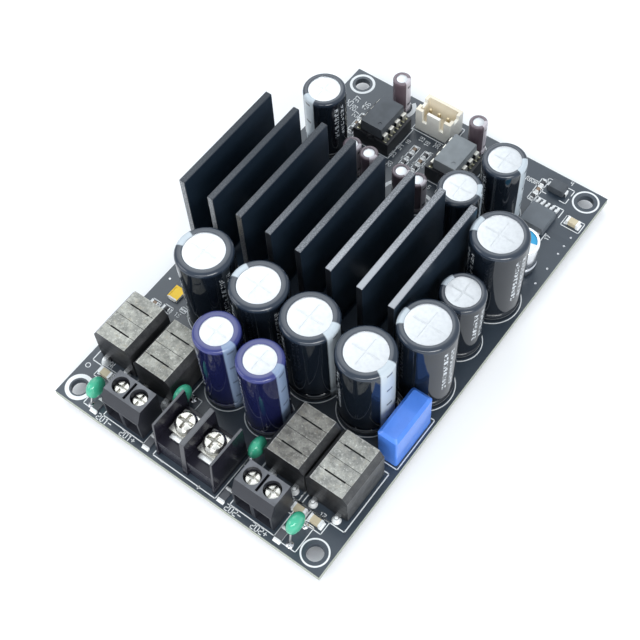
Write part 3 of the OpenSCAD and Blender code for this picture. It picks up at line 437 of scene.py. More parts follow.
# %% [markdown]
# ## Capacitor cans
# A wound capacitor is an aluminium can with a rolled groove near its foot and a shrunk plastic sleeve,
# which folds over the rim and leaves the scored top bare. A can is round, so it is turned like work on a
# lathe: a list of radii and heights, spun about its axis. The solids have the same profile with fewer
# points, and the finer copy stands for them.

# %% Turn a profile on a lathe
SLEEVE, METAL, BUNG, LEAD = range(4)


def bridge(tool, rings, parts, sides):
    """Faces between rings of points, one ring after another; a ring of one point is a pole."""
    for band, (low, high) in enumerate(zip(rings, rings[1:])):
        for k in range(sides):
            j = k + 1
            ring = [low[k % len(low)], low[j % len(low)], high[j % len(high)], high[k % len(high)]]
            corners = list(dict.fromkeys(ring))
            if len(corners) > 2:
                tool.faces.new(corners).material_index = parts[band]


def spin(tool, axis, profile, parts, sides):
    """Adds a turned body: profile is (radius, height) in mm, parts gives each band's material."""
    turns = [2 * pi * k / sides for k in range(sides)]
    rings = []
    for r, h in profile:
        rings.append([tool.verts.new((axis[0] + r * MM * cos(t), axis[1] + r * MM * sin(t),
                                      axis[2] + h * MM)) for t in (turns[:1] if r < 1e-6 else turns)])
    bridge(tool, rings, parts, sides)


def rounded(cx, cy, r, start, end, steps):
    turns = [radians(start + (end - start) * k / steps) for k in range(steps + 1)]
    return [(cx + r * cos(t), cy + r * sin(t)) for t in turns]


def can_profile(d, h, disc, groove, rim, foot=0.0):
    """Radii and heights of a can, in mm, from foot to top, and the material of each band."""
    r, g, bare = d / 2, groove, disc / 2
    rows = [(0, foot + 0.05, BUNG), (r * 0.8, foot + 0.05, BUNG), (r * 0.84, foot, SLEEVE),
            (r - 0.25, foot, SLEEVE), (r, foot + 0.3, SLEEVE)]
    rows += [(a, b, SLEEVE) for a, b in rounded(r + 0.2 * g, foot + 2.4 * g + 1, g, 258, 102, 10)]
    rows += [(r, h * 0.45, SLEEVE)]
    rows += [(a, b, SLEEVE) for a, b in rounded(r - rim, h - rim, rim, 0, 82, 9)]
    rows += [(bare + 0.35, h - 0.01, SLEEVE), (bare + 0.08, h - 0.05, SLEEVE), (bare, h - 0.14, METAL),
             (bare, h - 0.27, METAL), (disc * 0.44, h - 0.24, METAL), (disc * 0.2, h - 0.2, METAL),
             (0, h - 0.19, METAL)]
    return [(a, b) for a, b, _ in rows], [c for _, _, c in rows]


print("lathe ready, profile points", len(can_profile(12.8, 25, 9.2, 0.7, 0.9)[0]))

# %% [markdown]
# ### Sleeve with a polarity stripe
# The stripe is printed on the sleeve and runs from the foot over the fold of the rim. It could be a
# separate strip of mesh, but it has no thickness, so the shader finds it by the angle round the can. The
# sleeve is pulled thin over the rim, so it is a little paler there, and the fold and the inner edge of the
# rim are painted paler still, as a painted highlight.

# %% Sleeve finish
# Sleeve, stripe, how much paler the fold is (partly a painted highlight), and the tone of the dashes.
SKINS = {"black": ((0.006, 0.009, 0.014), (0.50, 0.56, 0.60), 3.2, 0.3),
         "blue": ((0.008, 0.010, 0.046), (0.22, 0.29, 0.42), 3.6, 0.55),
         "brown": ((0.100, 0.070, 0.084), (0.58, 0.53, 0.56), 1.3, 0.3)}


def from_axis(f, axis_mm):
    x, y, z = f.axes()
    dx, dy = x - axis_mm[0], y - axis_mm[1]
    return dx, dy, z, (dx * dx + dy * dy) ** 0.5


def sleeve(name, axis_mm, disc, skin, facing, half_width, z_mm, texts, pitch):
    """Shrunk sleeve: a stripe towards facing, and small print towards each angle in texts."""
    colour, stripe, fold, dash_tone = SKINS[skin]
    f = Finish(name)
    dx, dy, z, radius = from_axis(f, axis_mm)

    def towards(angle):
        c, s = cos(radians(angle)), sin(radians(angle))
        return (dx * c + dy * s) / (radius + 0.001), dy * c - dx * s

    near, across = towards(facing)
    inside = cos(radians(half_width))
    band = near.over(inside - 0.012, inside + 0.012)
    dust = f.noise(11.0, 3, 0.7)
    tone = f.mix(dust.over(0.55, 0.8) * 0.2, colour, shade(colour, 2, 0.015))
    # Painted highlight, partly real thinning: the fold over the rim and the inner edge of the rim are painted
    # paler.
    tone = f.mix(z.over(z_mm[1] - 1.3, z_mm[1] - 0.5), tone, shade(colour, fold))
    stretch_and_sheen = 1 - radius.over(disc / 2 + 0.1, disc / 2 + 1.2)
    tone = f.mix(stretch_and_sheen * 0.45, tone, shade(colour, fold, 0.12))
    tone = f.mix(band, tone, stripe)
    level = abs((z_mm[1] - z).wrap(pitch) - 0.27)
    dash = 1 - level.over(0.3 / pitch, 0.42 / pitch)
    dash = dash & (1 - abs(across).over(0.75, 0.85)) & near.over(0, 0.1)
    tone = f.mix(dash, tone, shade(stripe, dash_tone))
    for angle in texts:
        near, across = towards(angle)
        letters = f.noise(1.9, 1, 0.4).over(0.47, 0.5) & (1 - abs((z - 0.4).wrap(1.5) - 0.5).over(0.34, 0.38))
        rows = (1 - abs(abs(across) - 0.9).over(0.5, 0.55)) & near.over(0.2, 0.3)
        span = z.over(z_mm[0] + 7, z_mm[0] + 7.2) & (1 - z.over(z_mm[1] - 2.6, z_mm[1] - 2.4))
        tone = f.mix(letters & rows & span, tone, shade(stripe, 0.5, 0.3))
    shrink = f.noise(0.7, 2, 0.5, (1, 1, 0.3))
    return f.wear(base_color=tone, roughness=0.045 + shrink * 0.05 + band * 0.1,
                  normal=f.bump(shrink, 0.12, 0.12), specular_ior_level=0.6)


print("sleeve skins", list(SKINS))

# %% Top finish
ALUMINIUM, SCORE = (0.66, 0.67, 0.68), (0.56, 0.57, 0.58)


def can_top(name, axis_mm, disc, scored):
    """Spun aluminium; a scored cross lets a failing can open."""
    f = Finish(name)
    dx, dy, _, radius = from_axis(f, axis_mm)
    spun = radius.wrap(0.22)
    haze = f.noise(1.2, 4, 0.6)
    base = f.mix(haze.over(0.35, 0.7) * 0.5, ALUMINIUM, shade(ALUMINIUM, 0.86))
    height = spun * 0.03 + haze * 0.06
    if scored:
        line = (1 - abs(dx).over(0.12, 0.2)) | (1 - abs(dy).over(0.12, 0.2))
        score = line & (1 - radius.over(disc * 0.36, disc * 0.37))
        base = f.mix(score * 0.3, base, SCORE)
        height = height - score * 0.3
    return f.wear(base_color=base, metallic=1.0, roughness=0.30 + haze * 0.16,
                  normal=f.bump(height, 0.5, 0.2))


bung = moulded("rubber_bung", (0.02, 0.02, 0.021), 0.7)
print("top finish ready")

# %% [markdown]
# ### The cans
# Each row of the table gives a family of cans: the share of the top that is bare, the skin, half the
# stripe's width in degrees, and where each can's stripe points, in degrees from +X. Sizes and leads come
# from the solids.

# %% Leads of a solid
END_LEVEL, END_GAP = 0.05 * MM, 1.2 * MM


def lead_ends(node):
    """Centres, in metres, and radii, in mm, of the node's lead ends at the lowest level."""
    groups = []
    for p in [v.co.copy() for v in frame["nodes"][node].data.vertices if v.co.z < END_LEVEL]:
        near = [g for g in groups if any((p - q).length < END_GAP for q in g)]
        groups = [g for g in groups if g not in near] + [sum(near, []) + [p]]
    ends = []
    for g in groups:
        low, high = (Vector((end(p.x for p in g), end(p.y for p in g))) for end in (min, max))
        ends.append((tuple((low + high) / 2), max(high.x - low.x, high.y - low.y) * 500))
    return ends


def lead_pins(node, tool):
    for (x, y), r in lead_ends(node):
        rows = [(0, 0), (r * 0.7, 0), (r, r * 0.4), (r, TOP_MM + 0.1), (0, TOP_MM + 0.1)]
        spin(tool, (x, y, 0), rows, [LEAD] * 4, 12)


print("leads of the header", len(lead_ends("input_pins")))

# %% Make the cans
FAMILIES = [("reservoir_capacitor", 0.72, "black", 20, (180, 174, 0, -8)),
            ("blue_capacitor", 0.68, "blue", 17, (-19, 4)),
            ("tall_capacitor", 0.75, "black", 20, (192, 184)),
            ("small_capacitor", 0.74, "black", 20, (172, 25, 12, 255)),
            ("coupling_capacitor", 0.6, "brown", 32, (5, 10, 0, -20, 5, 0))]
CAN_NODES = [f"{row[0]}_{k + 1}" for row in FAMILIES for k in range(len(row[4]))]
WIDER_STRIPE, CLOSER_DASHES = {"small_capacitor_3": 26}, {"small_capacitor_2": 2.0}
DASH_PITCH = 6.0
PRINT_SIDES = (-124, -11, 68)
SLIM = 6


def standing(node):
    """A can's axis on the board, in metres and in mm, and its diameter and height in mm."""
    low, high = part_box(node)
    axis = ((low.x + high.x) / 2, (low.y + high.y) / 2, TOP)
    return axis, (axis[0] * 1000, axis[1] * 1000), (high.x - low.x) * 1000, (high.z - TOP) * 1000


def make_can(node, share, skin, half_width, facing):
    axis, axis_mm, d, h = standing(node)
    slim = d < SLIM
    groove, rim = (0.3, 0.45) if slim else (0.055 * d, 0.075 * d)
    profile, parts = can_profile(d, h, share * d, groove, rim)
    tool = bmesh.new()
    spin(tool, axis, profile, parts, 48 if slim else 72)
    lead_pins(node, tool)
    clear = [a for a in PRINT_SIDES if not slim and cos(radians(a - facing)) < 0.7]
    z_mm = (TOP_MM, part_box(node)[1].z * 1000)
    skins = [sleeve(node + "_sleeve", axis_mm, share * d, skin, facing, WIDER_STRIPE.get(node, half_width),
                    z_mm, clear, CLOSER_DASHES.get(node, DASH_PITCH)),
             can_top(node + "_top", axis_mm, share * d, not slim), bung, tin]
    return finished(node, tool, skins, 50)


cans = [make_can(f"{family}_{k + 1}", share, skin, half_width, facing)
        for family, share, skin, half_width, stripes in FAMILIES for k, facing in enumerate(stripes)]
print("cans", len(cans), "faces", sum(len(c.data.polygons) for c in cans))

# %% [markdown]
# ### Polymer can
# The polymer capacitor has no sleeve: a bare can on a dark foot, with a coloured half-moon printed on
# its top. It is turned as the others are, and the shader prints the half-moon by place.

# %% Make the polymer can
BARE_TOP, MOON_BLUE = (0.84, 0.85, 0.86), (0.03, 0.40, 0.72)
FOOT = 0.8


def polymer_top(axis_mm):
    f = Finish("polymer_top")
    x, y, _ = f.axes()
    moon = (x - axis_mm[0]) * -0.25 + (y - axis_mm[1]) * 0.97
    printed = moon.over(0.1, 0.25)
    haze = f.noise(1.5, 4, 0.6)
    return f.wear(base_color=f.mix(printed, BARE_TOP, MOON_BLUE), metallic=1 - printed,
                  roughness=0.26 + haze * 0.14, normal=f.bump(haze, 0.15, 0.05))


def make_polymer(node):
    axis, axis_mm, d, h = standing(node)
    profile, parts = can_profile(d, h, 0.9 * d, 0.5, 0.7, FOOT)
    tool = bmesh.new()
    spin(tool, axis, profile, parts, 72)
    foot = [(0, 0), (d / 2 - 0.4, 0), (d / 2 - 0.3, 0.15), (d / 2 - 0.3, FOOT + 0.2)]
    spin(tool, axis, foot, [BUNG] * 3, 48)
    lead_pins(node, tool)
    wall = metal("bare_can", (0.84, 0.85, 0.87), 0.2, 0.06, 5.0, (1, 1, 0.2))
    return finished(node, tool, [wall, polymer_top(axis_mm), bung, tin], 50)


print("polymer can faces", len(make_polymer("polymer_capacitor").data.polygons))

# %% [markdown]
# ## Inductors
# Each inductor is two ferrite halves round a flat copper coil. The top is ground, grey and spotted,
# with two dark gap grooves and a painted highlight along its upper edges, and the flanks keep the dark
# skin from the kiln. The fronts take a darker copy of that skin, which is painted shade. The solids carry
# the grooves, so the copy only needs soft edges and a finish for each face.

# %% Ferrite finishes
# The first colour is a painted highlight along the upper edges of a ground top; the second is rust.
EDGE_HIGHLIGHT, RUST = (0.52, 0.52, 0.49), (0.52, 0.45, 0.36)


def ferrite(name, colour, pale, rough, spots, rim=None):
    """Ground or fired ferrite; rim is the box, in mm, whose upper edges get a painted highlight."""
    f = Finish(name)
    fine = f.noise(2.0, 6, 0.78)
    broad = f.noise(0.45, 3, 0.55)
    rub = f.noise(1.1, 4, 0.6, (0.25, 1, 1))
    tone = f.mix(broad.over(0.3, 0.7) * 0.6, colour, pale)
    tone = f.mix(fine.over(0.52, 0.75) * spots, tone, shade(pale, 1.7))
    tone = f.mix((1 - fine.over(0.30, 0.46)) * spots, tone, shade(colour, 0.35))
    rust = f.noise(0.9, 4, 0.65).over(0.52, 0.72)
    tone = f.mix(rust * spots * 0.55, tone, tuple(c * s for c, s in zip(pale, RUST)))
    if rim:
        edges = []
        for at, low, high in zip(f.axes(), *rim):
            half = (high - low) / 2
            edges.append(abs(at - (low + high) / 2).over(half - 0.16, half - 0.06))
        # Painted highlight: a pale line along the upper edges of the ground top.
        tone = f.mix((edges[0] | edges[1]) * fine.over(0.38, 0.62), tone, EDGE_HIGHLIGHT)
    return f.wear(base_color=tone, roughness=rough + (rub - 0.5) * 0.3, metallic=0.25,
                  normal=f.bump(fine * 0.7 + rub * 0.3, 0.3, 0.05))


ferrite_side = ferrite("ferrite_side", (0.040, 0.041, 0.043), (0.090, 0.091, 0.091), 0.36, 0.5)
# Painted shade: the fronts take a darker copy of the flank's skin.
ferrite_front_painted_shade = ferrite("ferrite_front_painted_shade", (0.010, 0.010, 0.012), (0.026, 0.026, 0.027), 0.40, 0.5)
groove_dark = moulded("gap_groove", (0.008, 0.008, 0.008), 0.6)
print("ferrite finishes ready")

# %% Dress the inductors
INDUCTORS = [f"output_inductor_{k}" for k in range(1, 5)]
GROUND_TOP, KILN_SKIN, GROOVE, TAB, PAINTED_SHADE_FRONT = range(5)
TAB_REACH, TOP_BEVEL, GROOVE_DEPTH = 1.55, 1.15, 0.4
# The ground tops, from left to right: the darker and the paler tone of each.
GROUND = [((0.21, 0.21, 0.19), (0.53, 0.53, 0.47)), ((0.18, 0.18, 0.16), (0.47, 0.47, 0.42)),
          ((0.115, 0.11, 0.10), (0.33, 0.325, 0.29)), ((0.21, 0.21, 0.195), (0.52, 0.52, 0.47))]


def inductor_face(node):
    low, high = mm_box(node)
    front = low.y + TAB_REACH

    def pick(at, normal):
        if at.y < front - 0.02 or at.z < TOP_MM - 0.01:
            return TAB
        deep = high.z - at.z
        if normal.z > 0.9:
            return GROUND_TOP if deep < 0.05 else GROOVE
        if deep < GROOVE_DEPTH and abs(normal.y) > 0.9 and front + 1 < at.y < high.y - 1:
            return GROOVE
        # Fronts take the darker copy of the skin, which is painted shade.
        return PAINTED_SHADE_FRONT if normal.y < -FACING else KILN_SKIN
    return pick


for k, node in enumerate(INDUCTORS):
    low, high = mm_box(node)
    rim = ((low.x + TOP_BEVEL, low.y + TAB_REACH), (high.x - TOP_BEVEL, high.y))
    ground = ferrite(f"ferrite_top_{k + 1}", *GROUND[k], 0.40, 0.9, rim)
    softened(node, [ground, ferrite_side, groove_dark, tin, ferrite_front_painted_shade], inductor_face(node))
print("inductors", len(INDUCTORS))

# %% [markdown]
# ## Film capacitor and dipped capacitors
# The film capacitor is a potted plastic box, so its solid gets a finish alone. The green ones are dipped
# in resin: the coat pulls itself round, runs a little down the leads and shines. That drop is a sphere
# pressed flat, with its foot drawn out towards the two leads.

# %% Dress the film capacitor
def below_board(at, normal):
    return at.z < TOP_MM - 0.01


film_blue = moulded("film_case", (0.070, 0.215, 0.72), 0.3, 6.0, 0.05, 0.2, coat_weight=0.15)
film = softened("film_capacitor", [film_blue, tin], below_board, 0)
print("film capacitor faces", len(film.data.polygons))

# %% Find the solids of a node
def islands(node):
    """Boxes of the node's separate solids, as lowest and highest corners in mm."""
    tool = solid_copy(node)
    seen, boxes = set(), []
    for start in tool.verts:
        group, fresh = set(), {start} - seen
        while fresh:
            group |= fresh
            fresh = {e.other_vert(v) for v in fresh for e in v.link_edges} - group
        if group:
            seen |= group
            spots = [v.co * 1000 for v in group]
            boxes.append([Vector([end(p[k] for p in spots) for k in range(3)]) for end in (min, max)])
    tool.free()
    return boxes


print("dipped capacitors", len(islands("snubber_capacitors")))

# %% Make the drops
DROP_HALF_Y, DROP_HALF_Z = 2.55, 2.6
LEAD_PITCH, WIRE = 2.54, 0.25


def add_drop(tool, box, rings=18, sides=28):
    low, high = box
    centre = (low + high) / 2
    half_x, middle = (high.x - low.x) / 2, high.z - DROP_HALF_Z
    grid = []
    for i in range(rings + 1):
        t = pi * i / rings
        row = []
        for j in range(sides):
            a = 2 * pi * j / sides
            y, z = sin(t) * cos(a), sin(t) * sin(a)
            x = copysign(abs(cos(t)) ** 0.85, cos(t))
            skirt = max(0.0, -z - 0.55) * 0.35 * (0.3 + abs(y))
            row.append(tool.verts.new(((centre.x + x * half_x) * MM,
                                       (centre.y + y * DROP_HALF_Y * (1 + skirt * 0.2)) * MM,
                                       (middle + z * DROP_HALF_Z - skirt) * MM)))
        grid.append(row)
    for near, far in zip(grid, grid[1:]):
        for j in range(sides):
            k = (j + 1) % sides
            tool.faces.new((near[j], far[j], far[k], near[k]))


def add_wire(tool, points, r, part, sides=10):
    turns = [2 * pi * j / sides for j in range(sides)]
    rows = []
    for k, p in enumerate(points):
        along = (points[min(k + 1, len(points) - 1)] - points[max(k - 1, 0)]).normalized()
        side = along.orthogonal().normalized()
        other = along.cross(side)
        rows.append([tool.verts.new((p + (side * cos(t) + other * sin(t)) * r) * MM)
                     for t in turns])
    bridge(tool, rows, [part] * len(rows), sides)
    for end in (rows[0], rows[-1]):
        tool.faces.new(end).material_index = part


tool = bmesh.new()
for box in islands("snubber_capacitors"):
    add_drop(tool, box)
    cx, cy = (box[0].x + box[1].x) / 2, (box[0].y + box[1].y) / 2
    for s in (-1, 1):
        path = [(LEAD_PITCH, 0.02), (LEAD_PITCH, TOP_MM), (LEAD_PITCH, TOP_MM + 0.3),
                (2.4, TOP_MM + 0.75), (1.6, box[1].z - 4.2)]
        add_wire(tool, [Vector((cx, cy + s * out, z)) for out, z in path], WIRE, 1)
bmesh.ops.recalc_face_normals(tool, faces=tool.faces)
resin_green = moulded("dipped_resin", (0.050, 0.38, 0.23), 0.16, 1.2, 0.25, 0.4,
                      coat_weight=0.35, coat_roughness=0.05)
snubbers = finished("snubber_capacitors", tool, [resin_green, tin], 60)
print("drop faces", len(snubbers.data.polygons))

# %% [markdown]
# ## Screw terminals and supply strip
# The terminals are black mouldings with nickel screws. Their tops take a paler finish than their flanks,
# partly dust and partly a painted highlight, so a housing has two finishes; the wall tops of the supply
# strip take a pale finish that is only a painted highlight. The screws, cages and washers move, so each
# copy rides on the body of its own solid and follows the joint by itself.

# %% Dress the terminals
for side in ("left", "right"):
    housing = f"{side}_terminal_housing"
    softened(housing, [terminal_black, terminal_top], upper(housing, 0.3, 0.9), 0.14)
    softened(f"{side}_terminal_contacts", [tin], None, 0.04, 1)
    for k in (1, 2):
        softened(f"{side}_terminal_screw_{k}", [nickel], None, 0.05, 2, False)
        softened(f"{side}_terminal_cage_{k}", [steel], None, 0.06)
# The tops of the walls take the painted highlight.
softened("supply_strip_housing", [strip_black, strip_top_painted_highlight], upper("supply_strip_housing", 0.6, 0.3), 0.14)
softened("supply_strip_contacts", [tin], None, 0.08)
for k in (1, 2):
    softened(f"supply_screw_{k}", [nickel], None, 0.08, 2, False)
    softened(f"supply_washer_{k}", [nickel], None, 0.1)
print("terminals dressed")

# %% [markdown]
# ## Chips, sockets and the input header
# One solid holds a chip's body and its leads, because that is how the chip is handled. The copy can still
# have two finishes: a face beyond the body's flank, or below it, is lead and takes the lead's finish.

# %% Dress the input side
def beyond(node, half_x, floor=0.0):
    """Chooses finish 1 for faces further than half_x from the node's middle, or below a floor, in mm."""
    middle = sum(mm_box(node), Vector()) / 2
    return lambda at, normal: at.z < floor or abs(at.x - middle.x) > half_x


def within(node, half_x, half_y, floor):
    """Chooses finish 1 for faces above a floor and near the node's middle, in mm."""
    middle = sum(mm_box(node), Vector()) / 2
    return lambda at, normal: (abs(at.x - middle.x) < half_x and abs(at.y - middle.y) < half_y
                               and at.z > floor)


for k, resin in ((1, chip_resin), (2, chip_resin_pale)):
    body = beyond(f"op_amp_{k}", half_x=3.13, floor=TOP_MM + 4.2)
    softened(f"op_amp_{k}", [resin, chip_lead], body, 0.08)
    softened(f"op_amp_socket_{k}", [socket_black, tin], below_board, 0.08)
mouth = within("input_header", half_x=4.2, half_y=2.15, floor=TOP_MM + 1.5)
softened("input_header", [ivory, ivory_inside], mouth, 0.1)
softened("input_pins", [gold], None, 0.06, 1)
print("input side dressed")

# %% [markdown]
# ## Surface parts
# Small parts sit flat on the board: a regulator with a metal tab, a diode, a light, tan ceramic blocks
# and dark resistors. Blocks and resistors share a solid node each, so a face finds the solid it belongs
# to, and its place there says whether it is a plated end.

# %% Dress the blocks and resistors
LARGE_CHIP = 2.5
CERAMIC_CAP, LARGE_CAP, SMALL_CAP = 0.6, 0.5, 0.3


def end_caps(node, cap_mm, body_of):
    """Finish 0 for the plated ends; body_of(number, length in mm) gives the finish between them."""
    boxes = islands(node)

    def pick(at, normal):
        k = min(range(len(boxes)), key=lambda i: ((boxes[i][0] + boxes[i][1]) / 2 - at).length)
        low, high = boxes[k]
        axis = 0 if high.x - low.x > high.y - low.y else 1
        length = high[axis] - low[axis]
        to_end = min(at[axis] - low[axis], high[axis] - at[axis])
        return 0 if to_end < cap_mm(length) + 0.02 else body_of(k, length)
    return pick


ceramic_tan = moulded("ceramic_tan", (0.58, 0.50, 0.34), 0.45, 10.0, 0.1)
resistor_black = moulded("resistor_film", (0.05, 0.051, 0.055), 0.35)
small_tan = moulded("ceramic_brown", (0.26, 0.18, 0.12), 0.45, 10.0, 0.1)
resistor_grey = moulded("resistor_glaze", (0.10, 0.105, 0.115), 0.4)
softened("ceramic_capacitors", [bright_solder, ceramic_tan],
         end_caps("ceramic_capacitors", lambda length: CERAMIC_CAP, lambda k, length: 1), 0.06)
softened("chip_resistors", [bright_solder, resistor_black, small_tan, resistor_grey],
         end_caps("chip_resistors", lambda length: LARGE_CAP if length > LARGE_CHIP else SMALL_CAP,
                  lambda k, length: 3 if length > LARGE_CHIP else 1 + (k % 3 == 0)), 0.04, 1)
print("blocks and resistors dressed")

# %% Dress the regulator, the diode and the light
def regulator_face(at, normal, legs_end=1.0, tab_start=7.1):
    along = at.y - mm_box("regulator")[0].y
    return along < legs_end - 0.02 or along > tab_start + 0.02


regulator_resin = moulded("regulator_resin", (0.115, 0.13, 0.145), 0.45, 20.0, 0.3)
light_frame = moulded("light_frame", (0.86, 0.85, 0.80), 0.35)
phosphor = moulded("light_phosphor", (1.0, 0.62, 0.006), 0.3, 5.0, 0.1, 0.1)
softened("regulator", [regulator_resin, bright_solder], regulator_face, 0.1)
softened("rectifier_diode", [chip_resin, bright_solder], beyond("rectifier_diode", half_x=2.16), 0.08)
window = within("power_light", half_x=1.12, half_y=1.37, floor=TOP_MM + 0.5)
softened("power_light", [light_frame, phosphor], window, 0.04, 1)
print("surface parts dressed")

# %% [markdown]
# ## Socket springs
# Each hole of a chip socket holds a folded spring that grips the chip's lead. Only the two leaves show,
# so each is a thin leaf with a bent lip. One mesh holds all of them, because they never move.

# %% Add the socket springs
LEAF_AT = 0.68
# Half width, half thickness, and lower and upper level above the board, in mm.
LEAF, LIP = (0.4, 0.09, 1.0, 3.9), (0.5, 0.15, 3.9, 4.1)


def prism(tool, outline, low, high, part=0):
    """A closed block: an outline of (x, y) points in mm, seen from above, between two heights in mm."""
    base = [tool.verts.new((x * MM, y * MM, low * MM)) for x, y in outline]
    lid = [tool.verts.new((x * MM, y * MM, high * MM)) for x, y in outline]
    tool.faces.new(base[::-1]).material_index = part
    tool.faces.new(lid).material_index = part
    for k in range(len(outline)):
        j = (k + 1) % len(outline)
        tool.faces.new((base[k], base[j], lid[j], lid[k])).material_index = part


def block(tool, x0, y0, x1, y1, low, high, part=0):
    prism(tool, [(x0, y0), (x1, y0), (x1, y1), (x0, y1)], low, high, part)


tool = bmesh.new()
for k in (1, 2):
    for (x, y), r in lead_ends(f"op_amp_socket_{k}"):
        for s in (-1, 1):
            cx, cy = x * 1000, y * 1000 + s * LEAF_AT
            for wide, thick, low, high in (LEAF, LIP):
                block(tool, cx - wide, cy - thick, cx + wide, cy + thick, TOP_MM + low, TOP_MM + high)
springs = new_piece("socket_springs", tool, [spring_brass])
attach(springs, "board")
print("socket springs", len(springs.data.polygons) // 12)

# %% [markdown]
# ## White print
# The board's print is a layer of ink about 0.03 mm thick: an outline round each part, rings round the
# holes, and small marks. It could be a texture, but strokes of mesh stay sharp at any distance and survive
# an export. Every stroke is a flat closed bar, and a ring is a chain of short bars.

# %% Bars, rings and outlines
PRINT_LOW, PRINT_HIGH = TOP_MM - 0.01, TOP_MM + 0.03


def stroke(tool, a, b, width):
    a, b = Vector(a), Vector(b)
    along = (b - a).normalized() * (width / 2)
    side = Vector((-along.y, along.x))
    a, b = a - along, b + along
    prism(tool, [a - side, b - side, b + side, a + side], PRINT_LOW, PRINT_HIGH)


def ring(tool, x, y, r, width, start=0, end=360, low=PRINT_LOW, high=PRINT_HIGH):
    steps = max(12, int((end - start) / 7.5))
    turns = [radians(start + (end - start) * k / steps) for k in range(steps + 1)]
    inner, outer = r - width / 2, r + width / 2
    for a, b in zip(turns, turns[1:]):
        corners = ((inner, a), (outer, a), (outer, b), (inner, b))
        prism(tool, [(x + q * cos(t), y + q * sin(t)) for q, t in corners], low, high)


def outline(tool, box, gap, width, corner=None):
    """A rectangle round a box given in mm; with corner, only ticks of that length at the corners."""
    (x0, y0), (x1, y1) = (box[0].x - gap, box[0].y - gap), (box[1].x + gap, box[1].y + gap)
    points = [(x0, y0), (x1, y0), (x1, y1), (x0, y1)]
    for k in range(4):
        a, b = Vector(points[k]), Vector(points[(k + 1) % 4])
        if corner:
            reach = (b - a).normalized() * corner
            stroke(tool, a, a + reach, width)
            stroke(tool, b - reach, b, width)
        else:
            stroke(tool, a, b, width)


print("print layer", round(PRINT_HIGH - PRINT_LOW, 3), "mm")

# %% Signs and plain numbers
SIGN_STEP = 1.55
# A sign is a walk from point to point: a to f are corners, and the others lie between.
POINTS = dict(zip("abcdefghijklm", (
    (0, 2), (1, 2), (0, 1), (1, 1), (0, 0), (1, 0), (0.2, 1), (0.4, 0), (0.2, 1.6), (0.6, 2), (0.6, 0),
    (0.5, 0.5), (0.5, 1.5))))
STROKES = {"0": ["efbae"], "1": ["ijk"], "2": ["abdcef"], "3": ["abfe", "gd"], "4": ["acd", "bf"],
           "5": ["bacdfe"], "6": ["baefdc"], "7": ["abh"], "8": ["efbae", "cd"], "9": ["efbacd"],
           "+": ["cd", "lm"], "-": ["cd"]}


def write(tool, text, x, y, height, turn, width):
    """Writes signs from their lower left corner, turned by an angle in degrees."""
    c, s = cos(radians(turn)), sin(radians(turn))
    unit = height / 2
    for k, sign in enumerate(text):
        for line in STROKES[sign]:
            spots = []
            for u, v in (POINTS[letter] for letter in line):
                u, v = (u + k * SIGN_STEP) * unit, v * unit
                spots.append((x + u * c - v * s, y + u * s + v * c))
            for p, q in zip(spots, spots[1:]):
                stroke(tool, p, q, width)


print("signs", len(STROKES))

# %% [markdown]
# ### Outlines and marks
# The outlines are drawn from the boxes of the solids, so they stay with the parts when a size changes.
# Marks are plain numbers and polarity signs, as on any board.

# %% Print the outlines
# The gap round each node, and the length of the corner ticks where an outline is open.
FRAMED = {"film_capacitor": 0.5, "input_header": 0.55, "regulator": 0.4, "op_amp_socket_1": 0.4,
          "op_amp_socket_2": 0.4, "rectifier_diode": 0.9, "left_terminal_housing": 0.7,
          "right_terminal_housing": 0.7, "supply_strip_housing": 0.6}
TICKS = {"regulator": 2.5, "rectifier_diode": 1.6}
HOLE_INSET = 3.75
# Side in x and y, middle radius and width of the ring round each mounting hole.
HOLE_RINGS = ((-1, -1, 2.75, 0.95), (1, -1, 2.95, 0.36), (1, 1, 3.0, 0.42), (-1, 1, 2.9, 0.65))
# Place, radius, width and angles of a test point and four open arcs.
ARCS = ((-34.4, -47.8, 0.55, 0.17, 0, 360), (-4.7, 29.3, 4.6, 0.9, 128, 205), (0.4, 29.3, 3.8, 0.8, 38, 100),
        (-19.9, 52.4, 3.1, 1.3, -65, 55), (2.6, 51.5, 3.0, 1.1, -60, 20))
tool = bmesh.new()
for node in CAN_NODES:
    low, high = mm_box(node)
    ring(tool, (low.x + high.x) / 2, (low.y + high.y) / 2, (high.x - low.x) / 2 + 0.35, 0.22)
for node, gap in FRAMED.items():
    outline(tool, mm_box(node), gap, 0.22, TICKS.get(node))
for node in INDUCTORS:
    outline(tool, mm_box(node), 0.7, 0.24)
for box in islands("ceramic_capacitors"):
    outline(tool, box, 0.75, 0.2)
for box in islands("chip_resistors"):
    if max(box[1] - box[0]) < LARGE_CHIP:
        outline(tool, box, 0.45, 0.22)
for box in islands("snubber_capacitors"):
    outline(tool, box, 0.35, 0.2)
for sx, sy, r, width in HOLE_RINGS:
    ring(tool, sx * (HALF_X - HOLE_INSET), sy * (HALF_Y - HOLE_INSET), r, width)
for arc in ARCS:
    ring(tool, *arc)
print("outline faces", len(tool.faces))

# %% Print the marks
EMPTY_PADS = ((-26.2, -24.7), (-23.8, -24.9))
LABELS = (("201-", -24.3, -56.5), ("201+", -17.6, -56.5), ("202-", 11.4, -56.5), ("202+", 18.2, -56.5),
          ("-", -6.3, -56.6), ("+", 3.8, -56.6))
